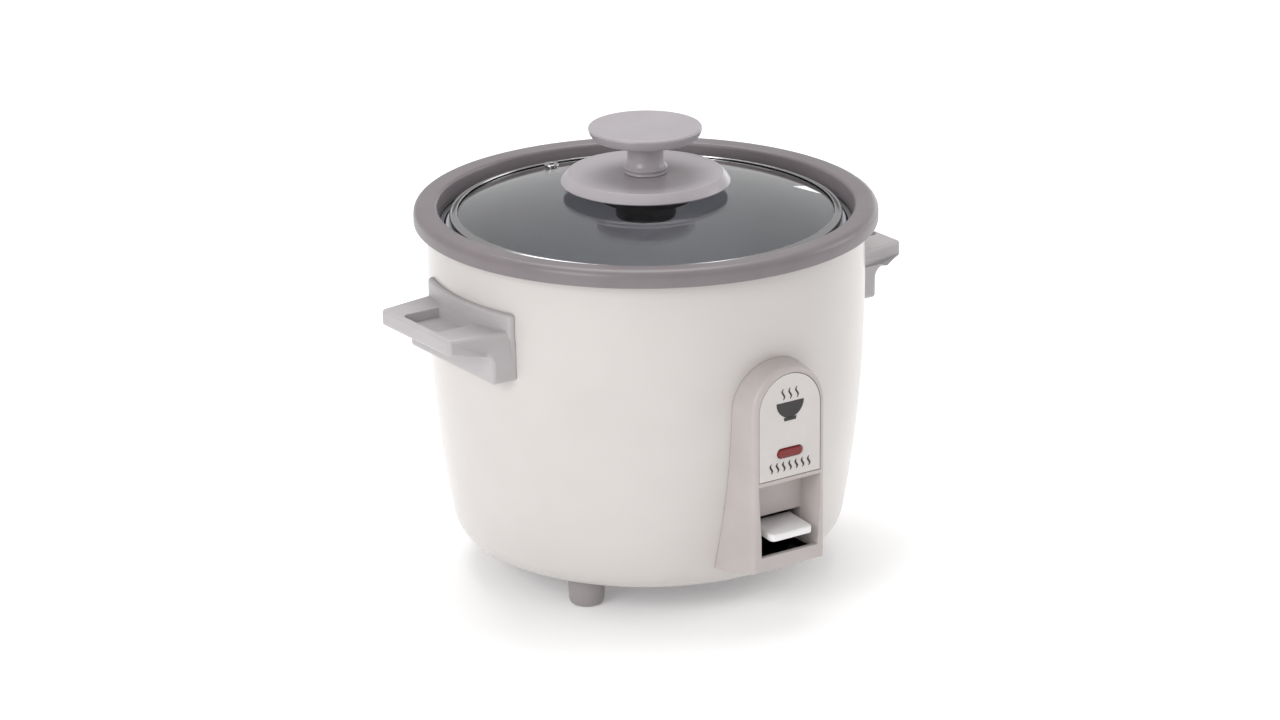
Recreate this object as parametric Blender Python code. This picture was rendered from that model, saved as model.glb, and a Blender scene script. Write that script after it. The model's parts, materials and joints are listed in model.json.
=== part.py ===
"""Rice cooker with a lift-off inner pot, a glass lid and a lever switch.

Metres, +Z up, front towards -Y, handles on -X and +X. The origin is on the
table under the middle of the body. The lid and pot lift along +Z; pressing
the paddle at the front turns the lever, which lifts the magnet under the
heating plate's sensor.
"""
import math

import bmesh
import bpy
from mathutils import Matrix, Vector

MM = 0.001

# ---------------------------------------------------------------- clearances
GAP = 0.3 * MM               # between fixed neighbours
RUN = 0.8 * MM               # around a piece that moves
SIDES = 40                   # facets round the body
PIN_SIDES = 14               # facets round pins and screws

# ------------------------------------------------------------- overall sizes
RING_RADIUS = 102.0 * MM     # rim ring, outside
BODY_HEIGHT = 144.8 * MM     # body floor to the ring's lower edge
FOOT_HEIGHT = 13.7 * MM      # table to the body floor

FLOOR = FOOT_HEIGHT
RING_EDGE = FLOOR + BODY_HEIGHT

# ---------------------------------------------------------------- outer shell
RING_OVERHANG = 6.1 * MM     # ring beyond the shell
BODY_TAPER = 8.8 * MM        # radius lost from the rim to the corner
BODY_TOP_SLOPE = -0.032      # radius gained per unit of height at the rim
BODY_LOW_SLOPE = 0.19        # and at the corner
BODY_CORNER = 11.8 * MM      # height of the rounded bottom corner
SHELL_WALL = 1.0 * MM
SHELL_TUCK = 2.7 * MM        # shell hidden inside the ring
FLOOR_HOLE_INSET = 5.0 * MM  # flat rim left round the floor hole

BODY_TOP_RADIUS = RING_RADIUS - RING_OVERHANG
BODY_LOW_RADIUS = BODY_TOP_RADIUS - BODY_TAPER
CORNER_TOP = FLOOR + BODY_CORNER

# ------------------------------------------------------------------- rim ring
RING_HEIGHT = 7.8 * MM
RING_WIDTH = 10.3 * MM
RING_ROUND = 3.6 * MM
LIP_ROUND = 1.4 * MM
RING_LEG = 1.6 * MM          # thickness of the leg inside the shell
RING_LEG_DROP = 1.5 * MM     # leg below the ring's lower edge
RING_SKIRT = 1.8 * MM
RING_UNDERCUT = 1.3 * MM

LIP_RADIUS = RING_RADIUS - RING_WIDTH
LEG_RADIUS = LIP_RADIUS - 0.7 * MM
RING_TOP = RING_EDGE + RING_HEIGHT

# ---------------------------------------------------------------- inner liner
LINER_WALL = 0.8 * MM
LINER_FLANGE = 0.8 * MM
LINER_FLOOR = FLOOR + 35.8 * MM
LINER_CORNER = 2.6 * MM
LINER_SIDE = 1.4 * MM        # liner wall inside the ring's leg
LINER_TOP = RING_EDGE - RING_LEG_DROP - GAP

# -------------------------------------------------------------- heating plate
PLATE_TOP = FLOOR + 48.0 * MM
PLATE_THICK = 9.7 * MM
PLATE_INSET = 16.0 * MM      # plate edge inside the liner's floor corner
SENSOR_BORE = 16.0 * MM
TERMINAL_RADIUS = 2.4 * MM
TERMINAL_LENGTH = 11.0 * MM
FUSE_RADIUS = 2.2 * MM
FUSE_HALF = 8.0 * MM
FUSE_DROP = 3.2 * MM         # fuse's axis under the plate
STRAP_HALF = 4.0 * MM        # inside half width of the fuse's strap
STRAP_WALL = 1.0 * MM
LEAD_RADIUS = 1.2 * MM
LEAD_GAP = 1.5 * MM          # lead's end to the pin or terminal it serves
LEAD_LOW = FLOOR + 13.0 * MM
PLATE_BOTTOM = PLATE_TOP - PLATE_THICK

# ------------------------------------------------------------------ inner pot
POT_WALL = 1.5 * MM
POT_FLANGE = 3.7 * MM        # flange beyond the pot's wall
POT_SIDE = 3.0 * MM          # pot flange inside the ring's leg
POT_TOP = RING_EDGE - 0.9 * MM
POT_CORNER = 22.0 * MM
POT_LOW_INSET = 1.8 * MM     # radius lost from the pot's rim to its corner
POT_BOTTOM = PLATE_TOP + GAP
POT_LIFT = 140.0 * MM

# ------------------------------------------------------------------------ lid
BAND_HEIGHT = 3.7 * MM
BAND_WIDTH = 3.5 * MM
BAND_WALL = 0.5 * MM
BAND_INSET = 1.7 * MM        # band inside the pot's flange
GLASS_THICK = 2.4 * MM
GLASS_RISE = 12.1 * MM       # crown of the dome above its edge
LID_LIFT = 120.0 * MM
STEM_HOLE = 4.0 * MM         # radius of the hole through the glass
NUT_RADIUS = 13.2 * MM
NUT_HEIGHT = 7.6 * MM
NUT_WELL = 5.0 * MM          # radius of the well round the screw's head
NUT_WELL_DEPTH = 2.0 * MM
SEAL_RADIUS = 20.4 * MM
SEAL_THICK = 4.0 * MM
SCREW_RADIUS = 2.4 * MM
SCREW_HEAD = 4.2 * MM
SCREW_HEAD_THICK = 1.8 * MM
KNOB_BASE_RADIUS = 37.4 * MM
KNOB_BASE_EDGE = 4.6 * MM    # height of the rim's sloping side
KNOB_BASE_FLARE = 3.3 * MM   # radius gained down that side
KNOB_BASE_HUB = 10.0 * MM    # radius that rests on the glass
KNOB_BASE_LIFT = 3.7 * MM    # base rim above the glass under it
STEM_RADIUS = 7.9 * MM
COLLAR_RADIUS = 9.9 * MM
KNOB_RADIUS = 25.1 * MM
KNOB_EDGE = 5.4 * MM
KNOB_TAPER = 2.2 * MM        # radius lost down the knob's edge
KNOB_DISH = 0.7 * MM         # hollow of the knob's top
KNOB_TOP_RISE = 26.9 * MM    # knob's top above the glass crown
VENT_RADIUS = 3.4 * MM
VENT_PLACE = 68.0 * MM       # from the middle of the lid
VENT_ANGLE = math.radians(94)
VENT_WALL = 1.0 * MM
VENT_FLANGE = 1.2 * MM       # flange beyond the vent's neck
VENT_FLANGE_THICK = 0.8 * MM

# ---------------------------------------------------------------- front panel
PANEL_REACH = 11.1 * MM      # front face beyond the shell's rim radius
PANEL_HALF = 18.8 * MM       # half width of the front face
PANEL_LOW = FLOOR + 14.2 * MM
PANEL_SPRING = FLOOR + 86.1 * MM   # where the arch begins
PANEL_DRAFT_LOW = 0.204      # half width gained per unit of depth
PANEL_DRAFT_TOP = 0.138
PANEL_SLOPE_LOW = 0.12       # bottom edge dropped per unit of depth
PANEL_ROUND = 2.2 * MM
PANEL_WALL = 3.0 * MM
BADGE_MARGIN = 2.8 * MM       # panel face left beside the badge
BADGE_LOW = FLOOR + 55.6 * MM
BADGE_THICK = 1.0 * MM
LENS_HALF = 6.5 * MM
LENS_ROUND = 1.95 * MM
LENS_HEIGHT = FLOOR + 66.8 * MM
LENS_PROUD = 0.5 * MM
LAMP_RADIUS = 2.6 * MM
LAMP_HALF = 7.0 * MM
RECESS_TOP = FLOOR + 53.6 * MM
SILL = FLOOR + 21.1 * MM
RECESS_MARGIN = 2.3 * MM      # and beside the recess
RECESS_TAPER = 1.6 * MM       # half width lost from the recess's roof to its sill
RECESS_DEPTH = 11.0 * MM
SLOT_MARGIN = 1.3 * MM        # slot inside the recess
SLOT_TOP = FLOOR + 35.5 * MM
SILL_LIP = 2.2 * MM          # depth of the sill in front of the black tray
TRAY_DROP = 1.0 * MM         # tray's floor below the sill
TRAY_REAR = 18.0 * MM        # tray behind the recess's back wall
PANEL_SCREW_INSET = 0.5 * MM  # screws inside the face's half width
PANEL_SCREW_Z = FLOOR + 29.0 * MM
PANEL_SCREW_RADIUS = 1.2 * MM
PANEL_SCREW_HEAD = 2.4 * MM
PANEL_SCREW_REACH = 9.0 * MM # screw beyond the shell, into the housing
RECESS_DROOP = 1.2 * MM      # recess roof falls by this towards the back
HOLLOW_MARGIN = 2.4 * MM     # housing wall left round the hollow behind the badge

BADGE_HALF = PANEL_HALF - BADGE_MARGIN
RECESS_HALF_TOP = PANEL_HALF - RECESS_MARGIN
RECESS_HALF_LOW = RECESS_HALF_TOP - RECESS_TAPER
SLOT_HALF = RECESS_HALF_LOW - SLOT_MARGIN
SLOT_LOW = PANEL_LOW + PANEL_WALL    # behind the sill the panel is hollow
PANEL_SCREW_X = PANEL_HALF - PANEL_SCREW_INSET
PANEL_FRONT = -(BODY_TOP_RADIUS + PANEL_REACH)
PANEL_BACK = PANEL_FRONT + 29.0 * MM

# --------------------------------------------------------------------- switch
PADDLE_SIDE = 2.6 * MM        # between the paddle and the slot's side
PADDLE_THICK = 3.3 * MM
PADDLE_CORNER = 2.5 * MM
PADDLE_EDGE = 0.8 * MM
TONGUE_INSET = 7.2 * MM      # lever's tongue behind the paddle's tip
PADDLE_LENGTH = 17.7 * MM
PADDLE_PROUD = 2.2 * MM      # paddle beyond the panel's front face
PADDLE_SLOPE = 0.082
PADDLE_TIP_TOP = FLOOR + 31.3 * MM
LEVER_THICK = 1.2 * MM
LEVER_HALF = 5.0 * MM
LEVER_REAR_ARM = 46.0 * MM   # pivot to the magnet's rod
LEVER_HEIGHT = FLOOR + 26.3 * MM
LEVER_TURN = math.radians(5.6)
PIVOT_RADIUS = 1.5 * MM
BARREL_RADIUS = 3.4 * MM
ROD_RADIUS = 2.0 * MM
ROD_COLLAR = 4.2 * MM
MAGNET_RADIUS = 10.0 * MM
CUP_WALL = 1.2 * MM
CUP_HEIGHT = 6.0 * MM
SENSOR_TRAVEL = 1.5 * MM
SENSOR_WALL = 1.0 * MM
FERRITE_THICK = 3.2 * MM
SPRING_WIRE = 0.45 * MM
SPRING_TURNS = 2.5

PADDLE_HALF = SLOT_HALF - PADDLE_SIDE
PADDLE_TIP = PANEL_FRONT - PADDLE_PROUD
PIVOT_Y = -LEVER_REAR_ARM
MAGNET_TRAVEL = LEVER_REAR_ARM * math.sin(LEVER_TURN)

# -------------------------------------------------------------------- bracket
BRACKET_WALL = 1.2 * MM
BRACKET_HALF = 13.2 * MM
BRACKET_TOP = PLATE_BOTTOM - 0.8 * MM
BRACKET_LOW = LEVER_HEIGHT - 6.0 * MM
BLOCK_HALF = 6.0 * MM
BLOCK_FRONT_Y = PIVOT_Y + 12.0 * MM
BLOCK_REAR_Y = PIVOT_Y + 26.0 * MM
BLOCK_HEIGHT = 4.6 * MM
PLUNGER_RADIUS = 1.2 * MM
PLUNGER_ARM = 19.0 * MM      # pivot to the contact plunger
PLUNGER_TRAVEL = PLUNGER_ARM * math.sin(LEVER_TURN)
BRACKET_SCREW_X = 9.0 * MM
BRACKET_SCREW_Y = PIVOT_Y - 7.0 * MM
BRACKET_SCREW_RADIUS = 1.5 * MM
BRACKET_SCREW_HEAD = 2.6 * MM

# ------------------------------------------------------ feet, posts and cover
COVER_THICK = 3.2 * MM
COVER_LEDGE = 6.0 * MM       # cover's lip above the shell's floor rim
FOOT_RADIUS = 7.8 * MM
FOOT_FLARE = 0.5 * MM
FOOT_INSET = 9.4 * MM        # feet and posts inside the flat floor's edge
FOOT_ANGLES = {"front_left": 210, "front_right": 330, "rear": 90}
POST_RADIUS = 3.5 * MM
FOOT_SCREW_RADIUS = 1.8 * MM
FOOT_SCREW_HEAD = 3.6 * MM
FOOT_SCREW_SEAT = 6.0 * MM   # screw head above the table

# -------------------------------------------------------------------- handles
HANDLE_HALF = 31.8 * MM
HANDLE_TIP_HALF = 27.2 * MM
HANDLE_TOP = RING_EDGE - 18.6 * MM
HANDLE_LOW = RING_EDGE - 48.3 * MM
SHELF_TOP = RING_EDGE - 26.3 * MM
SHELF_THICK = 8.3 * MM
HANDLE_REACH = 24.5 * MM     # shelf tip beyond the shell's rim radius
BLOCK_REACH = 6.4 * MM       # lower block beyond the shell's rim radius
FLANGE_PROUD = 2.7 * MM
GUSSET_ROUND = 4.5 * MM
HANDLE_EDGE = 1.5 * MM
POCKET_HALF = 14.0 * MM
POCKET_DEPTH = 4.4 * MM
POCKET_RIM = 2.4 * MM        # shelf left outside the pocket
POCKET_CORNER = 3.0 * MM
HANDLE_SCREW_Y = 16.0 * MM
HANDLE_SCREW_Z = HANDLE_LOW + 6.4 * MM
HANDLE_SCREW_RADIUS = 2.0 * MM
HANDLE_SCREW_HEAD = 3.2 * MM
HANDLE_SCREW_LENGTH = 9.0 * MM

# ------------------------------------------------------------- mains inlet
INLET_HALF = 18.0 * MM
INLET_LOW = FLOOR + 15.3 * MM
INLET_TOP = FLOOR + 41.3 * MM
INLET_WALL = 3.2 * MM
INLET_ROUND = 5.0 * MM
MOUTH_ROUND = 3.0 * MM
SOCKET_DEPTH = 16.0 * MM
INLET_PIN_X = 6.5 * MM
INLET_PIN_RADIUS = 2.3 * MM
INLET_PIN_LENGTH = 13.0 * MM

INLET_REAR = -PADDLE_TIP     # keeps the whole part centred on its origin
INLET_MIDDLE = (INLET_LOW + INLET_TOP) / 2

MATERIALS = {                # colour (sRGB hex), roughness, metallic
    "enamel": ("e2ddda", 0.28, 0.0),
    "grey_plastic": ("a09a9b", 0.42, 0.0),
    "pale_plastic": ("b3adad", 0.42, 0.0),
    "badge": ("d2cdca", 0.35, 0.0),
    "white_plastic": ("e4e2e2", 0.35, 0.0),
    "red_lens": ("8a2f2c", 0.2, 0.0),
    "black_plastic": ("1c1a1a", 0.5, 0.0),
    "aluminium": ("b9bbbd", 0.35, 1.0),
    "steel": ("8d9092", 0.35, 1.0),
    "bright_steel": ("c9cbcc", 0.15, 1.0),
    "brass": ("b08d4e", 0.3, 1.0),
    "magnet": ("3a3838", 0.6, 0.0),
    "glass": ("c8d0d2", 0.05, 0.0),
    "rubber": ("2c2a2b", 0.7, 0.0),
    "wire": ("6d1f1b", 0.6, 0.0),
}


# ------------------------------------------------------------------- helpers
def linear(hex_colour):
    """Linear RGBA of an sRGB hex colour."""
    channels = [int(hex_colour[i:i + 2], 16) / 255 for i in (0, 2, 4)]
    return [c / 12.92 if c <= 0.04045 else ((c + 0.055) / 1.055) ** 2.4 for c in channels] + [1.0]


def material(slot):
    """The Principled material of one slot, made once."""
    found = bpy.data.materials.get(slot)
    if found:
        return found
    colour, roughness, metallic = MATERIALS[slot]
    made = bpy.data.materials.new(slot)
    made.use_nodes = True
    shader = made.node_tree.nodes["Principled BSDF"]
    shader.inputs["Base Color"].default_value = linear(colour)
    shader.inputs["Roughness"].default_value = roughness
    shader.inputs["Metallic"].default_value = metallic
    made.diffuse_color = linear(colour)
    return made


def empty(name, place):
    """An empty that marks a joint's axis or the whole part."""
    made = bpy.data.objects.new(name, None)
    made.location = place
    bpy.context.collection.objects.link(made)
    return made


def scratch_object(name, bm):
    """A mesh object from a bmesh, with its faces turned outwards."""
    bmesh.ops.remove_doubles(bm, verts=bm.verts, dist=1e-7)
    bmesh.ops.recalc_face_normals(bm, faces=bm.faces)
    mesh = bpy.data.meshes.new(name)
    bm.to_mesh(mesh)
    bm.free()
    made = bpy.data.objects.new(name, mesh)
    bpy.context.collection.objects.link(made)
    return made


def bake(obj):
    """Replaces an object's mesh by its evaluated mesh."""
    bpy.context.view_layer.update()
    graph = bpy.context.evaluated_depsgraph_get()
    mesh = bpy.data.meshes.new_from_object(obj.evaluated_get(graph))
    old = obj.data
    obj.modifiers.clear()
    obj.data = mesh
    mesh.name = obj.name
    bpy.data.meshes.remove(old)


def combine(obj, bm, operation="DIFFERENCE"):
    """Cuts a shape out of an object, or joins the two."""
    tool = scratch_object("tool", bm)
    step = obj.modifiers.new("combine", "BOOLEAN")
    step.operation = operation
    step.object = tool
    step.solver = "EXACT"
    bake(obj)
    bpy.data.meshes.remove(tool.data)


def part(name, bm, slot, parent):
    """A named piece in its material, hung on its body's empty."""
    made = scratch_object(name, bm)
    made.data.materials.append(material(slot))
    made.data.transform(Matrix.Translation(-parent.location))
    made.parent = parent
    return made


def cut(obj, *shapes, operation="DIFFERENCE"):
    """Combines shapes, given in their places on the whole part, with a piece."""
    for bm in shapes:
        combine(obj, bm, operation)


def smooth(obj, angle=35):
    """Smooth shading with sharp edges past an angle."""
    obj.data.shade_smooth()
    obj.data.set_sharp_from_angle(angle=math.radians(angle))


def turned(profile, sides=SIDES, centre=(0, 0)):
    """A solid of revolution about a vertical axis from (radius, height) points."""
    bm = bmesh.new()
    verts = [bm.verts.new((r, 0, z)) for r, z in profile]
    pairs = zip(verts, verts[1:] + verts[:1])
    edges = [bm.edges.new(pair) for pair in pairs if pair[0].co.x > 0 or pair[1].co.x > 0]
    bmesh.ops.spin(bm, geom=verts + edges, cent=(0, 0, 0), axis=(0, 0, 1), angle=math.tau,
                   steps=sides, use_merge=True, use_duplicate=False)
    bmesh.ops.remove_doubles(bm, verts=bm.verts, dist=1e-6)
    bmesh.ops.translate(bm, verts=bm.verts, vec=(*centre, 0))
    return bm


def slab(outline, axis, low, high):
    """An outline extruded along an axis; its points are the other two axes in order."""
    spots = {"X": lambda u, v: (low, u, v), "Y": lambda u, v: (u, low, v), "Z": lambda u, v: (u, v, low)}
    move = {"X": (high - low, 0, 0), "Y": (0, high - low, 0), "Z": (0, 0, high - low)}
    bm = bmesh.new()
    face = bm.faces.new([bm.verts.new(spots[axis](u, v)) for u, v in outline])
    grown = bmesh.ops.extrude_face_region(bm, geom=[face])
    moved = [item for item in grown["geom"] if isinstance(item, bmesh.types.BMVert)]
    bmesh.ops.translate(bm, verts=moved, vec=move[axis])
    return bm


def block(low, high):
    """A box between two corners."""
    return slab([(low[0], low[1]), (high[0], low[1]), (high[0], high[1]), (low[0], high[1])],
                "Z", low[2], high[2])


def rod(start, end, radius, sides=PIN_SIDES):
    """A round bar between two points."""
    start = Vector(start)
    along = Vector(end) - start
    turn = along.to_track_quat("Z", "Y").to_matrix().to_4x4()
    bm = bmesh.new()
    bmesh.ops.create_cone(bm, cap_ends=True, segments=sides, radius1=radius, radius2=radius,
                          depth=along.length, matrix=Matrix.Translation(start + along / 2) @ turn)
    return bm


def loft(loops):
    """A solid through loops of the same number of points, capped at both ends."""
    bm = bmesh.new()
    rings = [[bm.verts.new(p) for p in loop] for loop in loops]
    for first, second in zip(rings, rings[1:]):
        for i in range(len(first)):
            j = (i + 1) % len(first)
            bm.faces.new((first[i], first[j], second[j], second[i]))
    bm.faces.new(rings[0])
    bm.faces.new(rings[-1])
    return bm


def arc(centre, radius, start, end, steps):
    """Points of a circular arc in a plane, angles in degrees."""
    turns = [math.radians(start + (end - start) * i / steps) for i in range(steps + 1)]
    return [(centre[0] + radius * math.cos(t), centre[1] + radius * math.sin(t)) for t in turns]


def round_edges(bm, width, segments, chosen):
    """Bevels the edges that a test picks."""
    edges = [edge for edge in bm.edges if chosen(edge)]
    bmesh.ops.bevel(bm, geom=edges, offset=width, offset_type="OFFSET", segments=segments,
                    profile=0.5, affect="EDGES", clamp_overlap=True)
    return bm


def sharp(edge):
    """True on an edge that turns by more than 40 degrees."""
    return len(edge.link_faces) == 2 and edge.calc_face_angle(0) > math.radians(40)


def screw(name, seat, along, length, radius, head, parent, head_thick=2.0 * MM):
    """A pan-head screw whose head stands behind its seat."""
    seat = Vector(seat)
    along = Vector(along).normalized()
    made = part(name, rod(seat - along * head_thick, seat, head), "steel", parent)
    cut(made, rod(seat - along * MM / 2, seat + along * length, radius), operation="UNION")
    smooth(made)
    return made


# ----------------------------------------------------------------- body curve
def body_radius(z):
    """Outside radius of the shell: a cubic from the corner to the rim."""
    span = RING_EDGE - CORNER_TOP
    t = min(max((z - CORNER_TOP) / span, 0), 1)
    low_pull = BODY_LOW_SLOPE * span
    top_pull = BODY_TOP_SLOPE * span
    return (BODY_LOW_RADIUS * (2 * t ** 3 - 3 * t ** 2 + 1) + low_pull * (t ** 3 - 2 * t ** 2 + t)
            + BODY_TOP_RADIUS * (3 * t ** 2 - 2 * t ** 3) + top_pull * (t ** 3 - t ** 2))


def body_wall(inward, top, steps=7, corner_steps=4):
    """The shell's outside, top to floor, moved inward by a distance."""
    lean = math.atan(BODY_LOW_SLOPE)
    radius = BODY_CORNER / (1 - math.sin(lean))
    points = [(BODY_TOP_RADIUS - inward, top)]
    for i in range(steps + 1):
        z = RING_EDGE + (CORNER_TOP - RING_EDGE) * i / steps
        step = 0.1 * MM
        slope = (body_radius(z + step) - body_radius(z - step)) / (2 * step)
        if i == 0:
            slope = 0
        if i == steps:
            slope = BODY_LOW_SLOPE
        size = math.hypot(1, slope)
        points.append((body_radius(z) - inward / size, z + inward * slope / size))
    centre = (BODY_LOW_RADIUS - radius * math.cos(lean), CORNER_TOP + radius * math.sin(lean))
    turn = math.degrees(lean)
    points += arc(centre, radius - inward, -turn, -90, corner_steps)[1:]
    return points


def body_solid(outward):
    """The body's outer form as a solid, grown by a clearance."""
    wall = body_wall(-outward, RING_EDGE + SHELL_TUCK)
    return turned([(0, wall[0][1])] + wall + [(0, wall[-1][1])])


FLAT_RADIUS = body_wall(0, RING_EDGE)[-1][0]
HOLE_RADIUS = FLAT_RADIUS - FLOOR_HOLE_INSET
FOOT_CIRCLE = FLAT_RADIUS - FOOT_INSET
LINER_RADIUS = LEG_RADIUS - LINER_SIDE
LINER_LOW_RADIUS = min(LINER_RADIUS, body_radius(LINER_FLOOR) - SHELL_WALL - RUN)
PLATE_RADIUS = LINER_LOW_RADIUS - PLATE_INSET - LINER_CORNER
POT_FLANGE_RADIUS = LEG_RADIUS - POT_SIDE
POT_RADIUS = POT_FLANGE_RADIUS - POT_FLANGE
BAND_RADIUS = POT_FLANGE_RADIUS - BAND_INSET
BAND_LOW = POT_TOP + GAP
GLASS_RADIUS = BAND_RADIUS - BAND_WALL - GAP
GLASS_LOW = BAND_LOW + BAND_WALL + GAP
GLASS_CROWN = GLASS_LOW + GLASS_THICK + GLASS_RISE
DOME_RADIUS = (GLASS_RADIUS ** 2 + GLASS_RISE ** 2) / (2 * GLASS_RISE)


# -------------------------------------------------------------- casing pieces
def make_outer_shell(body):
    """Drawn steel body with a floor rim, a lever slot, an inlet hole and screw holes."""
    outside = body_wall(0, RING_EDGE + SHELL_TUCK)
    inside = body_wall(SHELL_WALL, RING_EDGE + SHELL_TUCK)
    floor_edge = [(HOLE_RADIUS, FLOOR), (HOLE_RADIUS, FLOOR + SHELL_WALL)]
    shell = part("outer_shell", turned(outside + floor_edge + inside[::-1]), "enamel", body)
    front = -body_radius(SILL)
    cut(shell, block((-SLOT_HALF, front - 8 * MM, SLOT_LOW), (SLOT_HALF, front + 14 * MM, SLOT_TOP)))
    rear = body_radius(INLET_MIDDLE)
    pin_room = INLET_PIN_X + INLET_PIN_RADIUS + RUN
    cut(shell, rod((0, rear - 8 * MM, INLET_MIDDLE), (0, rear + 8 * MM, INLET_MIDDLE), pin_room, 24))
    hole = HANDLE_SCREW_RADIUS + GAP
    for side in (-1, 1):
        for y in (-HANDLE_SCREW_Y, HANDLE_SCREW_Y):
            inner = (side * (BODY_TOP_RADIUS - 12 * MM), y, HANDLE_SCREW_Z)
            outer = (side * (BODY_TOP_RADIUS + 4 * MM), y, HANDLE_SCREW_Z)
            cut(shell, rod(inner, outer, hole))
        front_end = (side * PANEL_SCREW_X, PANEL_BACK - 20 * MM, PANEL_SCREW_Z)
        rear_end = (side * PANEL_SCREW_X, PANEL_BACK + 8 * MM, PANEL_SCREW_Z)
        cut(shell, rod(front_end, rear_end, PANEL_SCREW_RADIUS + GAP))
    smooth(shell)


def make_rim_ring(body):
    """Moulded ring that caps the shell and hides its edge."""
    crown = arc((RING_RADIUS - RING_ROUND, RING_TOP - RING_ROUND), RING_ROUND, 0, 80, 5)
    lip = arc((LIP_RADIUS + LIP_ROUND, RING_TOP - LIP_ROUND - 0.2 * MM), LIP_ROUND, 100, 180, 3)
    groove_out = BODY_TOP_RADIUS + GAP
    groove_in = BODY_TOP_RADIUS - SHELL_WALL - GAP
    groove_top = RING_EDGE + SHELL_TUCK + GAP
    leg_low = RING_EDGE - RING_LEG_DROP
    under = RING_EDGE + RING_UNDERCUT
    profile = [(RING_RADIUS - 0.4 * MM, RING_EDGE), (RING_RADIUS, RING_EDGE + 0.6 * MM)] + crown + lip
    profile += [(LEG_RADIUS, leg_low), (LEG_RADIUS + RING_LEG, leg_low)]
    profile += [(LEG_RADIUS + RING_LEG, under), (groove_in, under), (groove_in, groove_top)]
    profile += [(groove_out, groove_top), (groove_out, under)]
    profile += [(RING_RADIUS - RING_SKIRT, under), (RING_RADIUS - RING_SKIRT, RING_EDGE)]
    smooth(part("rim_ring", turned(profile), "grey_plastic", body))


def make_inner_liner(body):
    """Sheet heat shield round the pot, open over the heating plate."""
    top = LINER_TOP
    flange = BODY_TOP_RADIUS - SHELL_WALL - GAP * 2
    low = LINER_LOW_RADIUS
    inner = LINER_RADIUS - LINER_WALL
    hole = PLATE_RADIUS + 3 * MM
    profile = [(flange, top), (flange, top - LINER_FLANGE), (LINER_RADIUS, top - LINER_FLANGE)]
    profile += [(low, LINER_FLOOR + LINER_CORNER + LINER_WALL), (low - LINER_CORNER, LINER_FLOOR)]
    profile += [(hole, LINER_FLOOR), (hole, LINER_FLOOR + LINER_WALL)]
    profile += [(low - LINER_CORNER - 0.4 * MM, LINER_FLOOR + LINER_WALL)]
    profile += [(low - LINER_WALL, LINER_FLOOR + LINER_CORNER + 2 * LINER_WALL), (inner, top)]
    smooth(part("inner_liner", turned(profile), "aluminium", body))


def make_bottom_cover(body):
    """Plug-in cover of the floor hole, with vent slots and screw holes."""
    lip = HOLE_RADIUS + COVER_LEDGE
    ledge = FLOOR + SHELL_WALL + GAP
    edge = HOLE_RADIUS - GAP
    top = FLOOR + COVER_THICK
    profile = [(0, FLOOR), (edge, FLOOR), (edge, ledge), (lip, ledge), (lip, top), (0, top)]
    cover = part("bottom_cover", turned(profile), "grey_plastic", body)
    for row in range(-2, 3):
        x = row * 9 * MM
        cut(cover, block((x - 1.5 * MM, -24 * MM, FLOOR - MM), (x + 1.5 * MM, 24 * MM, top + MM)))
    for place in foot_places().values():
        spot = (place[0], place[1], FLOOR - MM)
        cut(cover, rod(spot, (spot[0], spot[1], top + MM), FOOT_SCREW_RADIUS + GAP))
    smooth(cover)


def foot_places():
    """Where each foot and post stands."""
    places = {}
    for name, angle in FOOT_ANGLES.items():
        turn = math.radians(angle)
        places[name] = (FOOT_CIRCLE * math.cos(turn), FOOT_CIRCLE * math.sin(turn))
    return places


def make_feet_and_posts(body):
    """Three feet, the posts over them that carry the plate, and the screws between."""
    top = FLOOR - GAP
    cover_top = FLOOR + COVER_THICK
    hole = FOOT_SCREW_RADIUS + GAP
    for name, (x, y) in foot_places().items():
        profile = [(0, 0), (FOOT_RADIUS - 1.6 * MM, 0), (FOOT_RADIUS - 0.4 * MM, 0.5 * MM)]
        profile += [(FOOT_RADIUS, 1.7 * MM), (FOOT_RADIUS + FOOT_FLARE, top), (0, top)]
        foot = part("foot_" + name, turned(profile, 18, (x, y)), "grey_plastic", body)
        cut(foot, rod((x, y, -MM), (x, y, FOOT_SCREW_SEAT), FOOT_SCREW_HEAD + GAP))
        cut(foot, rod((x, y, FOOT_SCREW_SEAT - MM), (x, y, top + MM), hole))
        smooth(foot)
        low = cover_top + GAP
        post = part("plate_post_" + name, rod((x, y, low), (x, y, PLATE_BOTTOM - GAP), POST_RADIUS, 18),
                    "steel", body)
        cut(post, rod((x, y, low - MM), (x, y, low + 14 * MM), hole))
        smooth(post)
        length = low + 12 * MM - FOOT_SCREW_SEAT
        screw("foot_screw_" + name, (x, y, FOOT_SCREW_SEAT - GAP), (0, 0, 1), length,
              FOOT_SCREW_RADIUS, FOOT_SCREW_HEAD, body)


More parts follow.
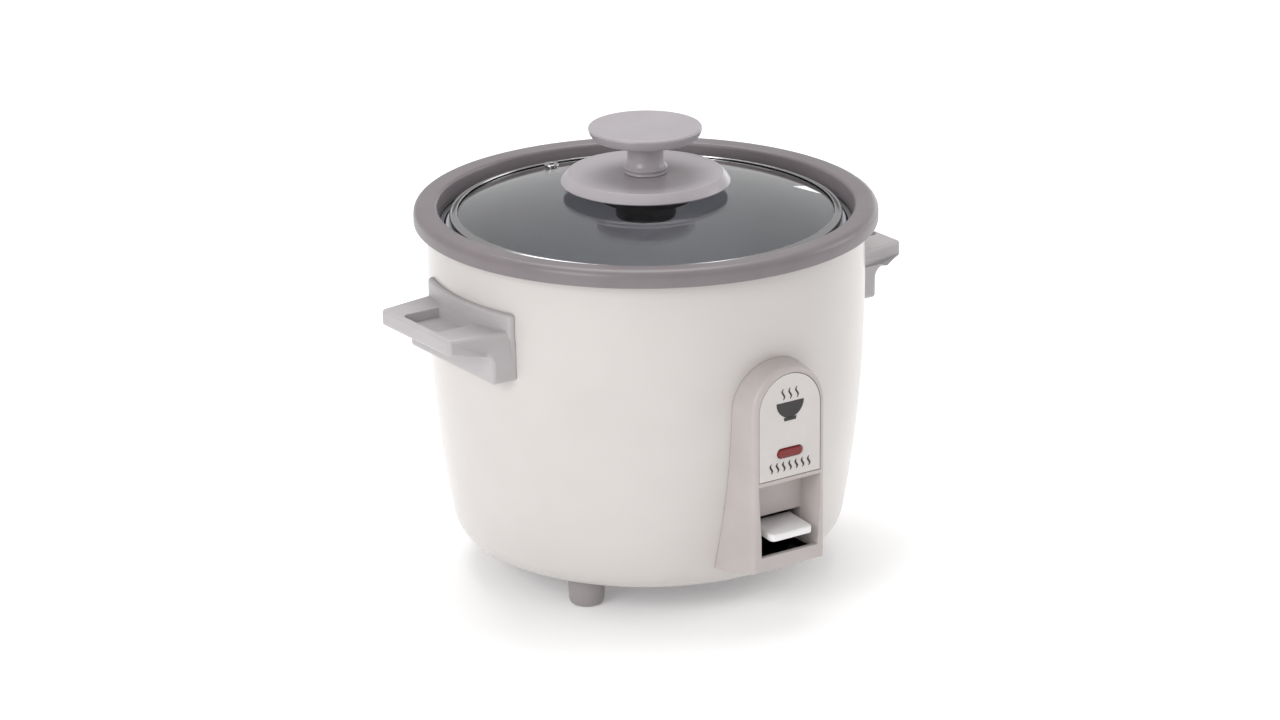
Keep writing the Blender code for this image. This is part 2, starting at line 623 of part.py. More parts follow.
# --------------------------------------------------------------- heating unit
def make_heating_plate(body):
    """Cast plate with its bore for the sensor and the two element terminals."""
    low = PLATE_BOTTOM
    profile = [(SENSOR_BORE, low), (PLATE_RADIUS - 2 * MM, low), (PLATE_RADIUS, low + 2 * MM)]
    profile += [(PLATE_RADIUS, PLATE_TOP - 1.5 * MM), (PLATE_RADIUS - 1.5 * MM, PLATE_TOP)]
    profile += [(SENSOR_BORE + 0.6 * MM, PLATE_TOP), (SENSOR_BORE, PLATE_TOP - 0.6 * MM)]
    plate = part("heating_plate", turned(profile, 36), "aluminium", body)
    for x in (-BRACKET_SCREW_X, BRACKET_SCREW_X):
        mouth = (x, BRACKET_SCREW_Y, low - MM)
        cut(plate, rod(mouth, (x, BRACKET_SCREW_Y, low + 6 * MM), BRACKET_SCREW_RADIUS + GAP))
    smooth(plate)
    for name, side in (("left", -1), ("right", 1)):
        spot = (side * PLATE_RADIUS * 0.5, PLATE_RADIUS * 0.45)
        ends = [(*spot, PLATE_BOTTOM - TERMINAL_LENGTH), (*spot, PLATE_BOTTOM - GAP)]
        smooth(part("heater_terminal_" + name, rod(*ends, TERMINAL_RADIUS), "brass", body))


def make_thermal_fuse(body):
    """One-shot fuse and the strap that clips it under the plate."""
    x = PLATE_RADIUS * 0.55
    z = PLATE_BOTTOM - FUSE_DROP
    smooth(part("thermal_fuse", rod((x, -FUSE_HALF, z), (x, FUSE_HALF, z), FUSE_RADIUS), "white_plastic", body))
    top = PLATE_BOTTOM - GAP
    under = z - FUSE_RADIUS - GAP
    wide = STRAP_HALF + STRAP_WALL
    outline = [(x - wide, top), (x - wide, under - STRAP_WALL), (x + wide, under - STRAP_WALL), (x + wide, top)]
    outline += [(x + STRAP_HALF, top), (x + STRAP_HALF, under), (x - STRAP_HALF, under), (x - STRAP_HALF, top)]
    part("fuse_strap", slab(outline, "Y", -3 * MM, 3 * MM), "steel", body)


# ---------------------------------------------------------------- front panel
def arch(half_low, half_top, low, spring, steps=12):
    """An upright outline with a round top, as (x, z) points."""
    return [(-half_low, low), (half_low, low)] + arc((0, spring), half_top, 0, 180, steps)


def panel_loop(y):
    """The panel's outline at a depth: wider towards the body."""
    depth = y - PANEL_FRONT
    outline = arch(PANEL_HALF + depth * PANEL_DRAFT_LOW, PANEL_HALF + depth * PANEL_DRAFT_TOP,
                   PANEL_LOW - depth * PANEL_SLOPE_LOW, PANEL_SPRING)
    return [(x, y, z) for x, z in outline]


def pill(half, radius, height, steps=6):
    """A lens-shaped outline, as (x, z) points."""
    right = arc((half - radius, height), radius, -90, 90, steps)
    left = arc((radius - half, height), radius, 90, 270, steps)
    return right + left


def recess_loop(y):
    """The switch recess at a depth: its walls close in towards the back."""
    share = (y - PANEL_FRONT) / RECESS_DEPTH
    top = RECESS_HALF_TOP + (SLOT_HALF + 0.2 * MM - RECESS_HALF_TOP) * share
    low = RECESS_HALF_LOW + (SLOT_HALF + 0.1 * MM - RECESS_HALF_LOW) * share
    high = RECESS_TOP - share * RECESS_DROOP
    return [(-low, y, SILL), (low, y, SILL), (top, y, high), (-top, y, high)]


def make_front_panel(body):
    """Switch housing: arch-topped, hollow behind the badge, with the switch recess."""
    panel_bm = loft([panel_loop(PANEL_FRONT), panel_loop(PANEL_BACK)])
    round_edges(panel_bm, PANEL_ROUND, 3, lambda edge: all(v.co.y < PANEL_FRONT + GAP for v in edge.verts))
    panel = part("front_panel", panel_bm, "pale_plastic", body)
    cut(panel, body_solid(GAP))
    front = PANEL_FRONT
    cut(panel, loft([recess_loop(front - 4 * MM), recess_loop(front + RECESS_DEPTH)]))
    slot_start = (-SLOT_HALF, front + RECESS_DEPTH, SLOT_LOW)
    cut(panel, block(slot_start, (SLOT_HALF, PANEL_BACK + 5 * MM, SLOT_TOP)))
    tray_room = (-SLOT_HALF, front + SILL_LIP, SLOT_LOW)
    cut(panel, block(tray_room, (SLOT_HALF, front + RECESS_DEPTH + MM, SILL + MM)))
    seat = arch(BADGE_HALF + GAP, BADGE_HALF + GAP, BADGE_LOW - GAP, PANEL_SPRING)
    seat_back = front + BADGE_THICK + GAP
    cut(panel, slab(seat, "Y", front - 4 * MM, seat_back))
    inside = PANEL_HALF - PANEL_WALL - HOLLOW_MARGIN
    hollow = arch(inside, inside, BADGE_LOW + 4.5 * MM, PANEL_SPRING)
    cut(panel, slab(hollow, "Y", front + PANEL_WALL, PANEL_BACK + 5 * MM))
    window = pill(LENS_HALF + GAP, LENS_ROUND + GAP, LENS_HEIGHT)
    cut(panel, slab(window, "Y", front, front + PANEL_WALL + MM))
    for x in (-PANEL_SCREW_X, PANEL_SCREW_X):
        back = (x, PANEL_BACK, PANEL_SCREW_Z)
        cut(panel, rod((x, panel_screw_tip() - MM, PANEL_SCREW_Z), back, PANEL_SCREW_RADIUS + GAP))
    smooth(panel, 30)


def make_switch_tray(body):
    """Black tray behind the sill, through the shell's slot, that catches crumbs."""
    half = SLOT_HALF - GAP
    low = (-half, PANEL_FRONT + SILL_LIP + GAP, SLOT_LOW + GAP)
    part("switch_tray", block(low, (half, PANEL_FRONT + RECESS_DEPTH + TRAY_REAR, SILL - TRAY_DROP)),
         "black_plastic", body)


def panel_screw_seat():
    """Inside of the shell where a panel screw's head bears."""
    reach = body_radius(PANEL_SCREW_Z) - SHELL_WALL - 0.6 * MM
    edge = PANEL_SCREW_X + PANEL_SCREW_HEAD
    return -math.sqrt(reach ** 2 - edge ** 2)


def panel_screw_tip():
    """How far forward a panel screw reaches."""
    return panel_screw_seat() - PANEL_SCREW_REACH


def make_badge_and_lamp(body):
    """Badge plate, the lens through it, and the lamp behind."""
    front = PANEL_FRONT
    badge_bm = slab(arch(BADGE_HALF, BADGE_HALF, BADGE_LOW, PANEL_SPRING), "Y", front, front + BADGE_THICK)
    badge = part("badge_plate", badge_bm, "badge", body)
    window = pill(LENS_HALF + GAP, LENS_ROUND + GAP, LENS_HEIGHT)
    cut(badge, slab(window, "Y", front - MM, front + BADGE_THICK + MM))
    lens_bm = slab(pill(LENS_HALF, LENS_ROUND, LENS_HEIGHT), "Y", front - LENS_PROUD, front + PANEL_WALL)
    smooth(part("indicator_lens", lens_bm, "red_lens", body))
    lamp_y = front + PANEL_WALL + GAP + 2.8 * MM
    ends = [(x, lamp_y, LENS_HEIGHT) for x in (-LAMP_HALF, LAMP_HALF)]
    smooth(part("indicator_lamp", rod(*ends, LAMP_RADIUS, 16), "glass", body))
    half = LAMP_HALF + MM
    low = (-half, lamp_y + LAMP_RADIUS + GAP, LENS_HEIGHT - 3 * MM)
    part("lamp_holder", block(low, (half, low[1] + 1.2 * MM, LENS_HEIGHT + 3 * MM)), "white_plastic", body)
    for name, x in (("left", -PANEL_SCREW_X), ("right", PANEL_SCREW_X)):
        seat = (x, panel_screw_seat(), PANEL_SCREW_Z)
        screw("panel_screw_" + name, seat, (0, -1, 0), PANEL_SCREW_REACH, PANEL_SCREW_RADIUS,
              PANEL_SCREW_HEAD, body, 1.4 * MM)


# --------------------------------------------------------------------- switch
def paddle_top(y):
    """Height of the paddle's top face: it falls towards its tip."""
    return PADDLE_TIP_TOP + (y - PADDLE_TIP) * PADDLE_SLOPE


def make_switch_lever(lever):
    """Steel lever: paddle tongue in front, pivot barrel, fork round the magnet rod behind."""
    tongue_tip = PADDLE_TIP + TONGUE_INSET
    tail = PADDLE_TIP + PADDLE_LENGTH
    middle = PADDLE_THICK / 2
    line = [(4 * MM, LEVER_HEIGHT), (PIVOT_Y - 3 * MM, LEVER_HEIGHT)]
    line += [(y, paddle_top(y) - middle) for y in (tail + 4 * MM, tail, tongue_tip)]
    half = LEVER_THICK / 2
    outline = [(y, z + half) for y, z in line] + [(y, z - half) for y, z in line[::-1]]
    made = part("switch_lever", slab(outline, "X", -LEVER_HALF, LEVER_HALF), "steel", lever)
    pivot = [(x, PIVOT_Y, LEVER_HEIGHT) for x in (-LEVER_HALF, LEVER_HALF)]
    cut(made, rod(*pivot, BARREL_RADIUS, 20), operation="UNION")
    bore = [(x * 2, y, z) for x, y, z in pivot]
    cut(made, rod(*bore, PIVOT_RADIUS + GAP))
    fork = ROD_RADIUS + 0.6 * MM
    cut(made, block((-fork, -6 * MM, LEVER_HEIGHT - 3 * MM), (fork, 9 * MM, LEVER_HEIGHT + 3 * MM)))
    smooth(made)


def make_switch_paddle(lever):
    """White push paddle over the lever's tongue."""
    tail = PADDLE_TIP + PADDLE_LENGTH
    corner = PADDLE_CORNER
    left = arc((corner - PADDLE_HALF, PADDLE_TIP + corner), corner, 180, 270, 4)
    right = arc((PADDLE_HALF - corner, PADDLE_TIP + corner), corner, 270, 360, 4)
    outline = left + right + [(PADDLE_HALF, tail), (-PADDLE_HALF, tail)]
    bm = slab(outline, "Z", -PADDLE_THICK, 0)
    round_edges(bm, PADDLE_EDGE, 2, sharp)
    for vert in bm.verts:
        vert.co.z += paddle_top(vert.co.y)
    made = part("switch_paddle", bm, "white_plastic", lever)
    depth = PADDLE_TIP + TONGUE_INSET - GAP
    half = LEVER_THICK / 2 + GAP
    ends = [(y, paddle_top(y) - PADDLE_THICK / 2) for y in (depth, tail + MM)]
    pocket = [(y, z - half) for y, z in ends] + [(y, z + half) for y, z in ends[::-1]]
    cut(made, slab(pocket, "X", -LEVER_HALF - GAP, LEVER_HALF + GAP))
    smooth(made)


def make_switch_bracket(body):
    """Folded bracket under the plate, with its pivot pin, screws and contact block."""
    inner = BRACKET_HALF - BRACKET_WALL
    front = PIVOT_Y - 12 * MM
    cheek_rear = PIVOT_Y + 30 * MM
    web_low = BRACKET_TOP - BRACKET_WALL
    web = block((-BRACKET_HALF, front, web_low), (BRACKET_HALF, 17 * MM, BRACKET_TOP))
    made = part("switch_bracket", web, "steel", body)
    for side in (-1, 1):
        xs = sorted((side * inner, side * BRACKET_HALF))
        cheek = block((xs[0], front + 2 * MM, BRACKET_LOW), (xs[1], cheek_rear, web_low + MM / 2))
        cut(made, cheek, operation="UNION")
    pin = (PIVOT_Y, LEVER_HEIGHT)
    cut(made, rod((-2 * BRACKET_HALF, *pin), (2 * BRACKET_HALF, *pin), PIVOT_RADIUS + GAP))
    cut(made, rod((0, 0, web_low - MM), (0, 0, BRACKET_TOP + MM), cup_radius() + 1.0 * MM, 32))
    for name, x in (("left", -BRACKET_SCREW_X), ("right", BRACKET_SCREW_X)):
        mouth = (x, BRACKET_SCREW_Y, web_low - MM)
        cut(made, rod(mouth, (x, BRACKET_SCREW_Y, BRACKET_TOP + MM), BRACKET_SCREW_RADIUS + GAP))
        screw("bracket_screw_" + name, (x, BRACKET_SCREW_Y, web_low - GAP), (0, 0, 1), 7 * MM,
              BRACKET_SCREW_RADIUS, BRACKET_SCREW_HEAD, body)
    smooth(made)
    tip = BRACKET_HALF + 1.6 * MM
    pivot = part("pivot_pin", rod((-tip, *pin), (tip, *pin), PIVOT_RADIUS), "bright_steel", body)
    head = tip + 1.2 * MM
    cut(pivot, rod((tip - MM, *pin), (head, *pin), PIVOT_RADIUS + MM), operation="UNION")
    smooth(pivot)


def cup_radius():
    """Outside radius of the magnet's cup."""
    return MAGNET_RADIUS + GAP + CUP_WALL


def sensor_top_of_travel():
    """Highest place that the magnet's face may reach."""
    return PLATE_TOP - SENSOR_WALL - GAP - FERRITE_THICK - SENSOR_TRAVEL - 0.5 * MM


def make_contacts(body, plunger):
    """Contact block under the bracket and the plunger that the lever pushes up."""
    top = BRACKET_TOP - BRACKET_WALL - GAP
    low = top - BLOCK_HEIGHT
    made = part("contact_block", block((-BLOCK_HALF, BLOCK_FRONT_Y, low), (BLOCK_HALF, BLOCK_REAR_Y, top)),
                "black_plastic", body)
    y = PIVOT_Y + PLUNGER_ARM
    cut(made, rod((0, y, low - MM), (0, y, top - 0.8 * MM), PLUNGER_RADIUS + GAP))
    start = LEVER_HEIGHT + LEVER_THICK / 2 + GAP
    end = top - 0.8 * MM - PLUNGER_TRAVEL - GAP
    smooth(part("contact_plunger", rod((0, y, start), (0, y, end), PLUNGER_RADIUS), "white_plastic", plunger))


def make_magnet(magnet):
    """Rod with two collars round the lever's fork, and the magnet in its cup on top."""
    top = sensor_top_of_travel() - MAGNET_TRAVEL
    cup_low = top - CUP_HEIGHT
    collar_gap = LEVER_THICK / 2 + 1.0 * MM
    high = LEVER_HEIGHT + collar_gap
    low = LEVER_HEIGHT - collar_gap
    cup = cup_radius()
    seat = cup_low + 2.3 * MM
    profile = [(0, low - 3.9 * MM), (ROD_RADIUS, low - 3.9 * MM), (ROD_RADIUS, low - 1.8 * MM)]
    profile += [(ROD_COLLAR, low - 1.8 * MM), (ROD_COLLAR, low), (ROD_RADIUS, low), (ROD_RADIUS, high)]
    profile += [(ROD_COLLAR, high), (ROD_COLLAR, cup_low), (cup, cup_low), (cup, top)]
    profile += [(cup - CUP_WALL, top), (cup - CUP_WALL, seat), (0, seat)]
    smooth(part("magnet_rod", turned(profile, 20), "steel", magnet))
    disc = turned([(0, seat + GAP), (MAGNET_RADIUS, seat + GAP), (MAGNET_RADIUS, top), (0, top)], 20)
    smooth(part("lift_magnet", disc, "magnet", magnet))


def make_sensor(sensor):
    """Sprung sensor cap in the plate's bore, its ferrite and its spring."""
    radius = SENSOR_BORE - RUN
    top = PLATE_TOP
    skirt = BRACKET_TOP + SENSOR_TRAVEL + RUN
    under = top - SENSOR_WALL
    profile = [(0, top), (radius - MM, top), (radius, top - 0.8 * MM), (radius, skirt)]
    profile += [(radius - SENSOR_WALL, skirt), (radius - SENSOR_WALL, under), (0, under)]
    smooth(part("sensor_cap", turned(profile, 24), "aluminium", sensor))
    ferrite = radius - SENSOR_WALL - 0.4 * MM
    high = under - GAP
    low = high - FERRITE_THICK
    disc = turned([(0, low), (ferrite, low), (ferrite, high), (0, high)], 20)
    smooth(part("sensor_ferrite", disc, "magnet", sensor))
    make_spring("sensor_spring", radius - SENSOR_WALL - 3 * SPRING_WIRE,
                BRACKET_TOP + GAP, low - GAP, sensor)


def make_spring(name, radius, low, high, parent):
    """A wire coil with flat-capped ends between two heights."""
    steps = int(SPRING_TURNS * 12)
    bottom = low + SPRING_WIRE
    rise = (high - SPRING_WIRE - bottom) / steps
    curve = bpy.data.curves.new(name, "CURVE")
    curve.dimensions = "3D"
    curve.bevel_depth = SPRING_WIRE * 0.95
    curve.bevel_resolution = 1
    curve.use_fill_caps = True
    line = curve.splines.new("POLY")
    line.points.add(steps)
    for i, point in enumerate(line.points):
        turn = math.tau * i / 12
        spot = Vector((radius * math.cos(turn), radius * math.sin(turn), bottom + i * rise))
        point.co = (*(spot - parent.location), 1)
    made = bpy.data.objects.new(name, curve)
    made.data.materials.append(material("bright_steel"))
    made.parent = parent
    bpy.context.collection.objects.link(made)


# ---------------------------------------------------------------- mains inlet
def rounded_box_outline(half, low, high, radius, steps=4):
    """A rounded rectangle as (x, z) points."""
    corners = [(half - radius, low + radius, -90), (half - radius, high - radius, 0),
               (radius - half, high - radius, 90), (radius - half, low + radius, 180)]
    points = []
    for x, z, start in corners:
        points += arc((x, z), radius, start, start + 90, steps)
    return points


def make_inlet(body):
    """Mains inlet at the back: a shrouded socket with two pins."""
    outline = rounded_box_outline(INLET_HALF, INLET_LOW, INLET_TOP, INLET_ROUND)
    inlet_bm = slab(outline, "Y", body_radius(INLET_LOW) - 16 * MM, INLET_REAR)
    round_edges(inlet_bm, 1.2 * MM, 2, lambda edge: all(v.co.y > INLET_REAR - GAP for v in edge.verts))
    inlet = part("inlet_housing", inlet_bm, "grey_plastic", body)
    cut(inlet, body_solid(GAP))
    socket_floor = INLET_REAR - SOCKET_DEPTH
    cavity = rounded_box_outline(INLET_HALF - INLET_WALL, INLET_LOW + INLET_WALL,
                                 INLET_TOP - INLET_WALL, MOUTH_ROUND)
    cut(inlet, slab(cavity, "Y", socket_floor, INLET_REAR + 4 * MM))
    for name, x in (("left", -INLET_PIN_X), ("right", INLET_PIN_X)):
        back = body_radius(INLET_MIDDLE) - 3 * MM
        tip = socket_floor + INLET_PIN_LENGTH
        ends = [(x, back - 4 * MM, INLET_MIDDLE), (x, tip, INLET_MIDDLE)]
        cut(inlet, rod((x, back - 9 * MM, INLET_MIDDLE), ends[1], INLET_PIN_RADIUS + GAP, 16))
        bm = rod(*ends, INLET_PIN_RADIUS, 16)
        round_edges(bm, 0.8 * MM, 2, lambda edge: all(v.co.y > tip - GAP for v in edge.verts))
        smooth(part("inlet_pin_" + name, bm, "bright_steel", body))
    smooth(inlet)


# -------------------------------------------------------------------- handles
def make_handle(name, side, body):
    """Side handle: a curved flange on the body, a lower block and a shelf with a pocket."""
    root = BODY_TOP_RADIUS - 12 * MM
    tip = BODY_TOP_RADIUS + HANDLE_REACH
    face = BODY_TOP_RADIUS + BLOCK_REACH
    shelf_low = SHELF_TOP - SHELF_THICK
    gusset = arc((face + GUSSET_ROUND, shelf_low - GUSSET_ROUND), GUSSET_ROUND, 180, 90, 4)
    outline = [(root, HANDLE_LOW), (face, HANDLE_LOW)] + gusset
    outline += [(tip, shelf_low + 0.8 * MM), (tip, SHELF_TOP), (root, SHELF_TOP)]
    bm = slab(outline, "Y", -HANDLE_HALF, HANDLE_HALF)
    for vert in bm.verts:
        share = max(0, (vert.co.x - face) / (tip - face))
        if vert.co.x > face + GUSSET_ROUND:
            vert.co.y *= 1 - share * (1 - HANDLE_TIP_HALF / HANDLE_HALF)
    round_edges(bm, HANDLE_EDGE, 3, sharp)
    outer = BODY_TOP_RADIUS + FLANGE_PROUD
    turn = math.degrees(math.asin((HANDLE_HALF - GAP) / outer))
    sector = arc((0, 0), outer, -turn, turn, 10)
    sector = [(root, sector[0][1])] + sector + [(root, sector[-1][1])]
    flange = slab(sector, "Z", shelf_low + 2 * MM, HANDLE_TOP)
    round_edges(flange, HANDLE_EDGE, 2, sharp)
    pocket_out = tip - POCKET_RIM
    pocket_in = outer + 0.6 * MM
    pocket = [(pocket_in, -POCKET_HALF), (pocket_out - POCKET_CORNER, -POCKET_HALF)]
    pocket += [(pocket_out, POCKET_CORNER - POCKET_HALF), (pocket_out, POCKET_HALF - POCKET_CORNER)]
    pocket += [(pocket_out - POCKET_CORNER, POCKET_HALF), (pocket_in, POCKET_HALF)]
    scoop = slab(pocket, "Z", SHELF_TOP - POCKET_DEPTH, SHELF_TOP + 2 * MM)
    holes = []
    for y in (-HANDLE_SCREW_Y, HANDLE_SCREW_Y):
        end = (handle_screw_seat() + HANDLE_SCREW_LENGTH + 2 * GAP, y, HANDLE_SCREW_Z)
        holes.append(rod((root - MM, y, HANDLE_SCREW_Z), end, HANDLE_SCREW_RADIUS + GAP))
    shapes = [bm, flange, scoop] + holes
    if side < 0:
        for shape in shapes:
            bmesh.ops.scale(shape, vec=(-1, 1, 1), verts=shape.verts)
    handle = part(name, bm, "grey_plastic", body)
    cut(handle, flange, operation="UNION")
    cut(handle, scoop, *holes)
    cut(handle, body_solid(GAP))
    smooth(handle, 30)


def handle_screw_seat():
    """Inside of the shell where a handle screw's head bears."""
    reach = body_radius(HANDLE_SCREW_Z) - SHELL_WALL - 0.5 * MM
    edge = HANDLE_SCREW_Y + HANDLE_SCREW_HEAD
    return math.sqrt(reach ** 2 - edge ** 2)


def make_handle_screws(body):
    """Two screws from inside the shell into each handle."""
    for side_name, side in (("left", -1), ("right", 1)):
        for end_name, y in (("front", -HANDLE_SCREW_Y), ("rear", HANDLE_SCREW_Y)):
            seat = (side * handle_screw_seat(), y, HANDLE_SCREW_Z)
            screw("handle_screw_%s_%s" % (side_name, end_name), seat, (side, 0, 0),
                  HANDLE_SCREW_LENGTH, HANDLE_SCREW_RADIUS, HANDLE_SCREW_HEAD, body, 1.6 * MM)


# ------------------------------------------------------------------ inner pot
def make_pot(pot):
    """Spun aluminium inner pot with a flat flange."""
    low_radius = POT_RADIUS - POT_LOW_INSET
    corner_top = POT_BOTTOM + POT_CORNER
    flange_low = POT_TOP - POT_WALL
    centre = (low_radius - POT_CORNER, corner_top)
    outside = [(POT_FLANGE_RADIUS - 0.5 * MM, POT_TOP), (POT_FLANGE_RADIUS, POT_TOP - 0.5 * MM)]
    outside += [(POT_FLANGE_RADIUS, flange_low), (POT_RADIUS, flange_low)]
    outside += arc(centre, POT_CORNER, 0, -90, 5)
    outside += [(0, POT_BOTTOM)]
    inside = [(0, POT_BOTTOM + POT_WALL)] + arc(centre, POT_CORNER - POT_WALL, -90, 0, 5)
    inside += [(POT_RADIUS - POT_WALL, flange_low), (POT_RADIUS - POT_WALL + 0.8 * MM, POT_TOP)]
    smooth(part("inner_pot", turned(outside + inside), "aluminium", pot))


# ------------------------------------------------------------------------ lid
def edge_fall(radius):
    """How far the dome falls from its crown at a radius."""
    return DOME_RADIUS - math.sqrt(DOME_RADIUS ** 2 - radius ** 2)


def dome(radius, drop=0.0):
    """Height of the glass's outside at a radius, less a drop."""
    return GLASS_CROWN - edge_fall(radius) - drop


def make_glass(lid):
    """Domed glass disc with a stem hole and a vent hole."""
    steps = 6
    radii = [STEM_HOLE + (GLASS_RADIUS - STEM_HOLE) * i / steps for i in range(steps + 1)]
    over = [(r, dome(r)) for r in radii]
    under = [(r, dome(r, GLASS_THICK)) for r in radii]
    glass = part("glass_dome", turned(over + under[::-1]), "glass", lid)
    x, y = vent_place()
    low = dome(VENT_PLACE, 8 * MM)
    cut(glass, rod((x, y, low), (x, y, low + 16 * MM), VENT_RADIUS - VENT_FLANGE + GAP, 16))
    smooth(glass)


def vent_place():
    """Centre of the steam vent on the lid."""
    return VENT_PLACE * math.cos(VENT_ANGLE), VENT_PLACE * math.sin(VENT_ANGLE)


def make_vent(lid):
    """Metal eyelet of the steam vent: a flanged tube through the glass."""
    x, y = vent_place()
    neck = VENT_RADIUS - VENT_FLANGE
    bore = neck - VENT_WALL
    tilt = 0.9 * MM          # room for the dome's slope under the flange
    high = dome(VENT_PLACE) + tilt
    low = dome(VENT_PLACE, GLASS_THICK) - tilt
    over, under = high + VENT_FLANGE_THICK, low - VENT_FLANGE_THICK
    profile = [(bore, over), (VENT_RADIUS, over), (VENT_RADIUS, high), (neck, high), (neck, low)]
    profile += [(VENT_RADIUS, low), (VENT_RADIUS, under), (bore, under)]
    smooth(part("steam_vent", turned(profile, 16, (x, y)), "bright_steel", lid))


def make_lid_band(lid):
    """Rolled steel channel round the edge of the glass."""
    high = BAND_LOW + BAND_HEIGHT
    inner = BAND_RADIUS - BAND_WIDTH
    wall = BAND_RADIUS - BAND_WALL
    lip_high = dome(inner) + GAP * 1.5
    outer_high = min(high, dome(GLASS_RADIUS) + GAP)
    profile = [(inner, lip_high), (inner, lip_high + BAND_WALL), (wall, outer_high + BAND_WALL)]
    profile += [(BAND_RADIUS, outer_high), (BAND_RADIUS, BAND_LOW + 0.3 * MM)]
    profile += [(BAND_RADIUS - 0.3 * MM, BAND_LOW), (inner, BAND_LOW), (inner, BAND_LOW + BAND_WALL)]
    profile += [(wall, BAND_LOW + BAND_WALL), (wall, outer_high)]
    smooth(part("lid_band", turned(profile), "bright_steel", lid), 50)


def make_knob(lid):
    """Knob base on the glass, mushroom knob, and the seal, nut and screw under them."""
    core = SCREW_RADIUS + GAP
    rim = dome(KNOB_BASE_RADIUS) + KNOB_BASE_LIFT
    base_top = rim + KNOB_BASE_EDGE
    rim_top = KNOB_BASE_RADIUS - KNOB_BASE_FLARE
    seat = GLASS_CROWN + GAP
    dish = base_top - 0.2 * MM
    base = [(core, seat), (KNOB_BASE_HUB, seat), (KNOB_BASE_HUB + 3 * MM, seat + 0.6 * MM)]
    base += [(KNOB_BASE_RADIUS - 2.5 * MM, rim + 0.9 * MM), (KNOB_BASE_RADIUS - 0.8 * MM, rim)]
    base += [(KNOB_BASE_RADIUS, rim + 0.5 * MM), (rim_top + 0.3 * MM, base_top - 0.3 * MM), (rim_top, base_top)]
    base += [(rim_top - 1.2 * MM, dish), (core, dish)]
    smooth(part("knob_base", turned(base, 36), "grey_plastic", lid))
    top = GLASS_CROWN + KNOB_TOP_RISE
    under = top - KNOB_EDGE
    edge_low = KNOB_RADIUS - KNOB_TAPER
    foot = dish + GAP
    bore_top = under - MM
    knob = [(0, top - KNOB_DISH), (KNOB_RADIUS - 2.4 * MM, top - 0.5 * MM), (KNOB_RADIUS - MM, top)]
    knob += [(KNOB_RADIUS, top - 0.9 * MM), (edge_low, under + 0.4 * MM), (edge_low - 1.5 * MM, under)]
    knob += [(STEM_RADIUS + 2 * MM, under - 1.2 * MM), (STEM_RADIUS, under - 3.0 * MM)]
    knob += [(STEM_RADIUS, foot + 4.8 * MM), (STEM_RADIUS + 1.2 * MM, foot + 3.4 * MM)]
    knob += [(COLLAR_RADIUS, foot + 2.2 * MM), (COLLAR_RADIUS - 0.9 * MM, foot + MM)]
    knob += [(COLLAR_RADIUS - 0.6 * MM, foot), (core, foot), (core, bore_top), (0, bore_top)]
    smooth(part("knob", turned(knob, 30), "pale_plastic", lid))
    seal_top = dome(SEAL_RADIUS, GLASS_THICK) - GAP
    seal_low = seal_top - SEAL_THICK
    seal = [(core, seal_low), (SEAL_RADIUS, seal_low), (SEAL_RADIUS, seal_top), (core, seal_top)]
    smooth(part("lid_seal", turned(seal, 28), "rubber", lid))
    nut_top = seal_low - GAP
    nut_low = nut_top - NUT_HEIGHT
    well = nut_low + NUT_WELL_DEPTH
    nut = [(core, well), (NUT_WELL, well), (NUT_WELL, nut_low), (NUT_RADIUS - 2 * MM, nut_low)]
    nut += [(NUT_RADIUS, nut_low + 2 * MM), (NUT_RADIUS, nut_top), (core, nut_top)]
    smooth(part("knob_cap", turned(nut, 28), "black_plastic", lid))
    head_seat = well - GAP
    screw("knob_screw", (0, 0, head_seat), (0, 0, 1), bore_top - MM - head_seat,
          SCREW_RADIUS, SCREW_HEAD, lid, SCREW_HEAD_THICK)


# ------------------------------------------------------------------- wiring
def make_lead(name, points, body):
    """A short lead inside the body, on a smooth curve through its points."""
    spots = [Vector(p) for p in points]
    padded = [spots[0] * 2 - spots[1]] + spots + [spots[-1] * 2 - spots[-2]]
    path = []
    for a, b, c, d in zip(padded, padded[1:], padded[2:], padded[3:]):
        for i in range(3):
            t = i / 3
            path.append(0.5 * (2 * b + (c - a) * t + (2 * a - 5 * b + 4 * c - d) * t ** 2
                               + (3 * b - a - 3 * c + d) * t ** 3))
    path.append(spots[-1])
    curve = bpy.data.curves.new(name, "CURVE")
    curve.dimensions = "3D"
    curve.bevel_depth = LEAD_RADIUS
    curve.bevel_resolution = 2
    curve.use_fill_caps = True
    line = curve.splines.new("POLY")
    line.points.add(len(path) - 1)
    for point, spot in zip(line.points, path):
        point.co = (*spot, 1)
    made = bpy.data.objects.new(name, curve)
    made.data.materials.append(material("wire"))
    made.parent = body
    bpy.context.collection.objects.link(made)


